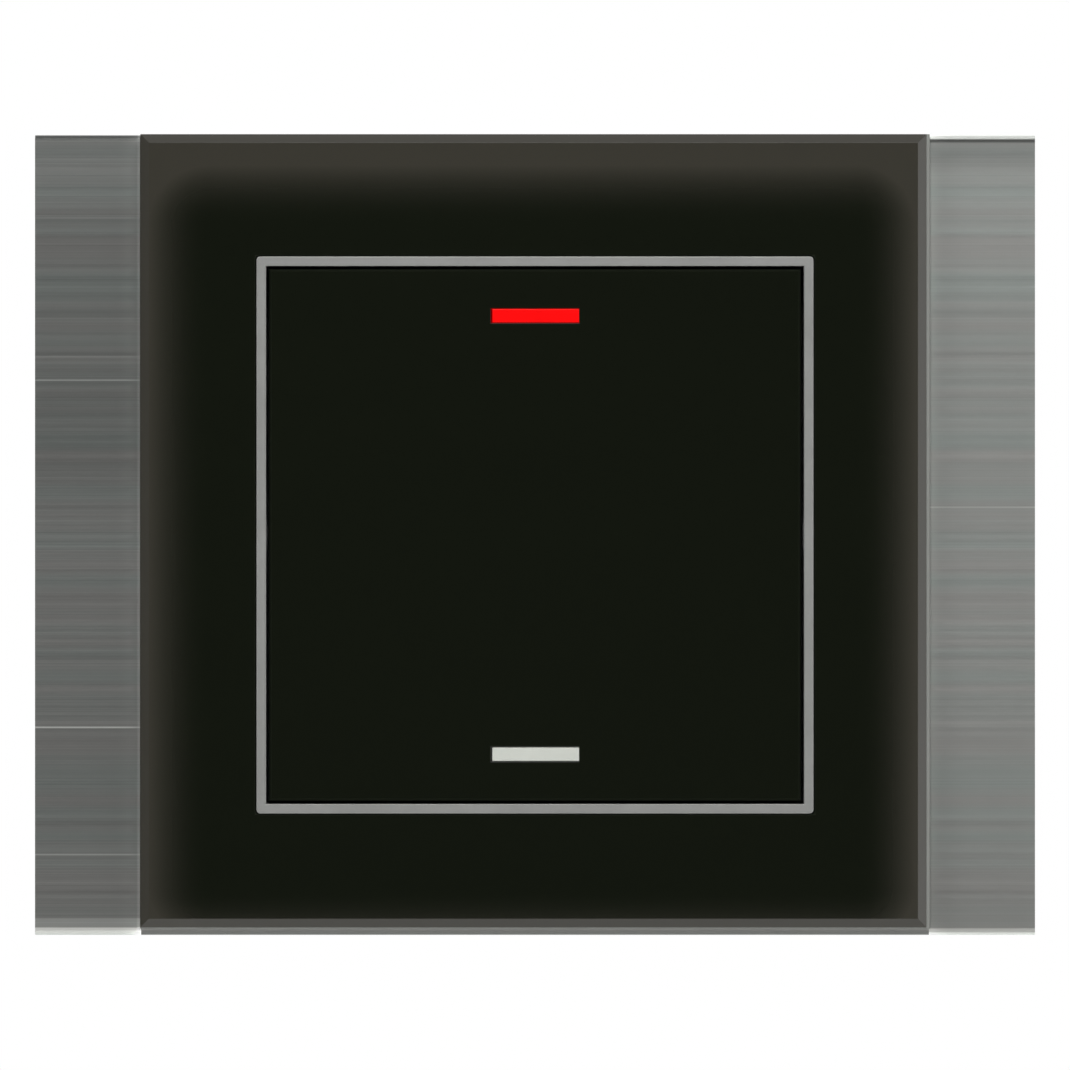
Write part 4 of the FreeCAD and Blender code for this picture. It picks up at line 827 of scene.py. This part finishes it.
def body_of(node_name):
    """Body that a CAD node belongs to."""
    return frame["nodes"][node_name]["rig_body"]


def build_pieces():
    """Makes every new piece, hangs all but the return springs on their bodies, and gives the
    carried-over CAD nodes their materials.
    """
    shaped = {"glass_frame_plate": glass_plate(), "trim_ring": ring()}
    for name in ("upper_light_bar", "lower_light_bar"):
        shaped[name] = light_bar(name)
    for name, width in EDGE.items():
        shaped[name] = softened(name, width)
    close_slit(shaped["clip_frame"])
    for name, piece in shaped.items():
        surface = PLATE_GLASS if name == "glass_frame_plate" else None
        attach(finish_piece(piece, name, surface), body_of(name))
    for side in ("upper", "lower"):
        name = side + "_return_spring"
        spring = finish_piece(return_spring(name), name)
        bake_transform(spring)
        shaped[name] = spring
    for name, carried in frame["nodes"].items():
        if name not in shaped:
            carried.data.materials.clear()
            carried.data.materials.append(MATERIALS[SLOT_OF[name]])


# Stage, light and camera

# Floor: its height, size and two shades, and the distances between which it turns white
FLOOR_Z = -0.2
FLOOR_RADIUS = 1.2
FLOOR_SIDES = 96
FLOOR_SHADES = ((0.8, 0.8, 0.79), (0.84, 0.84, 0.83))
FLOOR_NEAR = 0.4
FLOOR_FAR = 0.88


def floor():
    """Pale disc under the object: the ring of points at radius R, closed by one face."""
    angle = np.linspace(0, 2 * math.pi, FLOOR_SIDES, endpoint=False)
    ring_points = np.stack([FLOOR_RADIUS * np.cos(angle), FLOOR_RADIUS * np.sin(angle),
                            np.full_like(angle, FLOOR_Z)], axis=-1)
    mesh = bpy.data.meshes.new("floor")
    mesh.from_pydata(ring_points.tolist(), [], [list(range(len(angle)))])
    made = placed("floor", mesh)
    made.data.materials.append(floor_surface())


def shown_rays(tree):
    """1 for camera, glossy and transmission rays, and 0 for all others."""
    path = node(tree, "LightPath")
    seen = maths(tree, "MAXIMUM", path.outputs["Is Camera Ray"], path.outputs["Is Glossy Ray"])
    return maths(tree, "MAXIMUM", seen, path.outputs["Is Transmission Ray"])


def floor_surface():
    """Pale matte floor that turns into the white background far from the object.

    From below it is clear, so that the switch can be seen from there too.
    """
    made = bpy.data.materials.new("pale_floor")
    made.use_nodes = True
    tree = made.node_tree
    tree.nodes.remove(tree.nodes["Principled BSDF"])
    coords = node(tree, "TexCoord").outputs["Object"]
    speck = grains(tree, coords, even(3.0))
    shade = mixed(tree, speck, opaque(FLOOR_SHADES[0]), opaque(FLOOR_SHADES[1]))
    matte = node(tree, "BsdfDiffuse", {"Color": shade}).outputs[0]
    white = node(tree, "Emission", {"Color": (1.0, 1.0, 1.0, 1.0), "Strength": 1.0}).outputs[0]
    distance = node(tree, "VectorMath", {0: coords}, operation="LENGTH").outputs["Value"]
    far = node(tree, "MapRange", {0: distance, 1: FLOOR_NEAR, 2: FLOOR_FAR, 3: 0.0, 4: 1.0},
               interpolation_type="SMOOTHSTEP").outputs[0]
    share = maths(tree, "MULTIPLY", far, shown_rays(tree))
    top = node(tree, "MixShader", {0: share, 1: matte, 2: white}).outputs[0]
    clear = node(tree, "BsdfTransparent").outputs[0]
    underside = maths(tree, "MULTIPLY", node(tree, "NewGeometry").outputs["Backfacing"],
                      node(tree, "LightPath").outputs["Is Camera Ray"])
    final = node(tree, "MixShader", {0: underside, 1: top, 2: clear}).outputs[0]
    tree.links.new(final, tree.nodes["Material Output"].inputs["Surface"])
    return made


# Light of the studio from left (0) to right (1), its share straight ahead of the glass, the cone
# where that holds, and how far back a direction points where the backdrop starts and is full
SIDE_LIGHT = ((0.0, 0.18), (0.2, 0.22), (0.5, 0.36), (0.8, 0.4), (1.0, 0.6))
FRONT_DARK = 0.13
CONE_INNER = math.cos(math.radians(12))
CONE_OUTER = math.cos(math.radians(24))
BACKDROP_RANGE = (0.05, 0.3)


def world():
    """White backdrop for the camera and behind the object, and a soft grey studio for the light.

    The studio is darker to the left and straight ahead of the glass, so that the glass stays black.
    """
    made = bpy.data.worlds.new("studio")
    bpy.context.scene.world = made
    made.use_nodes = True
    tree = made.node_tree
    direction = node(tree, "TexCoord").outputs["Generated"]
    parts = node(tree, "SeparateXYZ", {0: direction}).outputs
    sideways = grey_ramp(tree, spread(tree, parts[0], -1.0, 1.0, 0.0, 1.0), SIDE_LIGHT)
    ahead = maths(tree, "MULTIPLY", parts[1], -1.0)
    open_share = spread(tree, ahead, CONE_OUTER, CONE_INNER, 1.0, FRONT_DARK)
    studio = tinted(tree, sideways, open_share)
    path = node(tree, "LightPath")
    glossy = maths(tree, "MAXIMUM", path.outputs["Is Glossy Ray"], path.outputs["Is Transmission Ray"])
    behind = maths(tree, "MULTIPLY", glossy, spread(tree, parts[1], *BACKDROP_RANGE, 0.0, 1.0))
    white = maths(tree, "MAXIMUM", path.outputs["Is Camera Ray"], behind)
    shade = mixed(tree, white, studio, (1.0, 1.0, 1.0, 1.0))
    back = node(tree, "Background", {"Color": shade, "Strength": 1.0}).outputs[0]
    out = tree.nodes.get("World Output") or node(tree, "OutputWorld")
    tree.links.new(back, out.inputs["Surface"])


# Soft boxes: place and size in metres, and power in watts. Each one points at the switch.
SOFT_BOXES = {
    "key_light": ((0.15, -0.7, 0.5), 0.45, 3.6),
    "fill_light": ((-0.5, -0.6, 0.6), 0.45, 3.2),
    "top_light": ((0.0, 0.0, 0.7), 0.6, 0.3),
    "right_light": ((0.75, 0.0, 0.0), 0.5, 0.65),
    "rear_key_light": ((-0.5, 0.7, 0.5), 1.2, 5.5),
    "rear_fill_light": ((0.6, 0.6, 0.2), 1.0, 3.5),
}


def lights():
    """Square area lamps that the camera doesn't see."""
    for name, (place, size, power) in SOFT_BOXES.items():
        lamp = bpy.data.lights.new(name, "AREA")
        lamp.shape = "SQUARE"
        lamp.size = size
        lamp.energy = power
        made = bpy.data.objects.new(name, lamp)
        bpy.context.scene.collection.objects.link(made)
        made.location = place
        made.rotation_euler = (-made.location).to_track_quat("-Z", "Y").to_euler()
        made.visible_camera = False


def camera():
    """Camera square to the front, at the distance that shows the plane of the wings full width."""
    lens = bpy.data.cameras.new("camera")
    lens.lens = LENS
    lens.sensor_width = SENSOR
    made = bpy.data.objects.new("camera", lens)
    bpy.context.scene.collection.objects.link(made)
    made.location = (0.0, WING_Y - HALF_VIEW * LENS / (SENSOR / 2), 0.0)
    made.rotation_euler = (math.pi / 2, 0.0, 0.0)
    bpy.context.scene.camera = made


camera()
floor()
world()
lights()
build_pieces()
bpy.context.scene.view_settings.view_transform = "Standard"
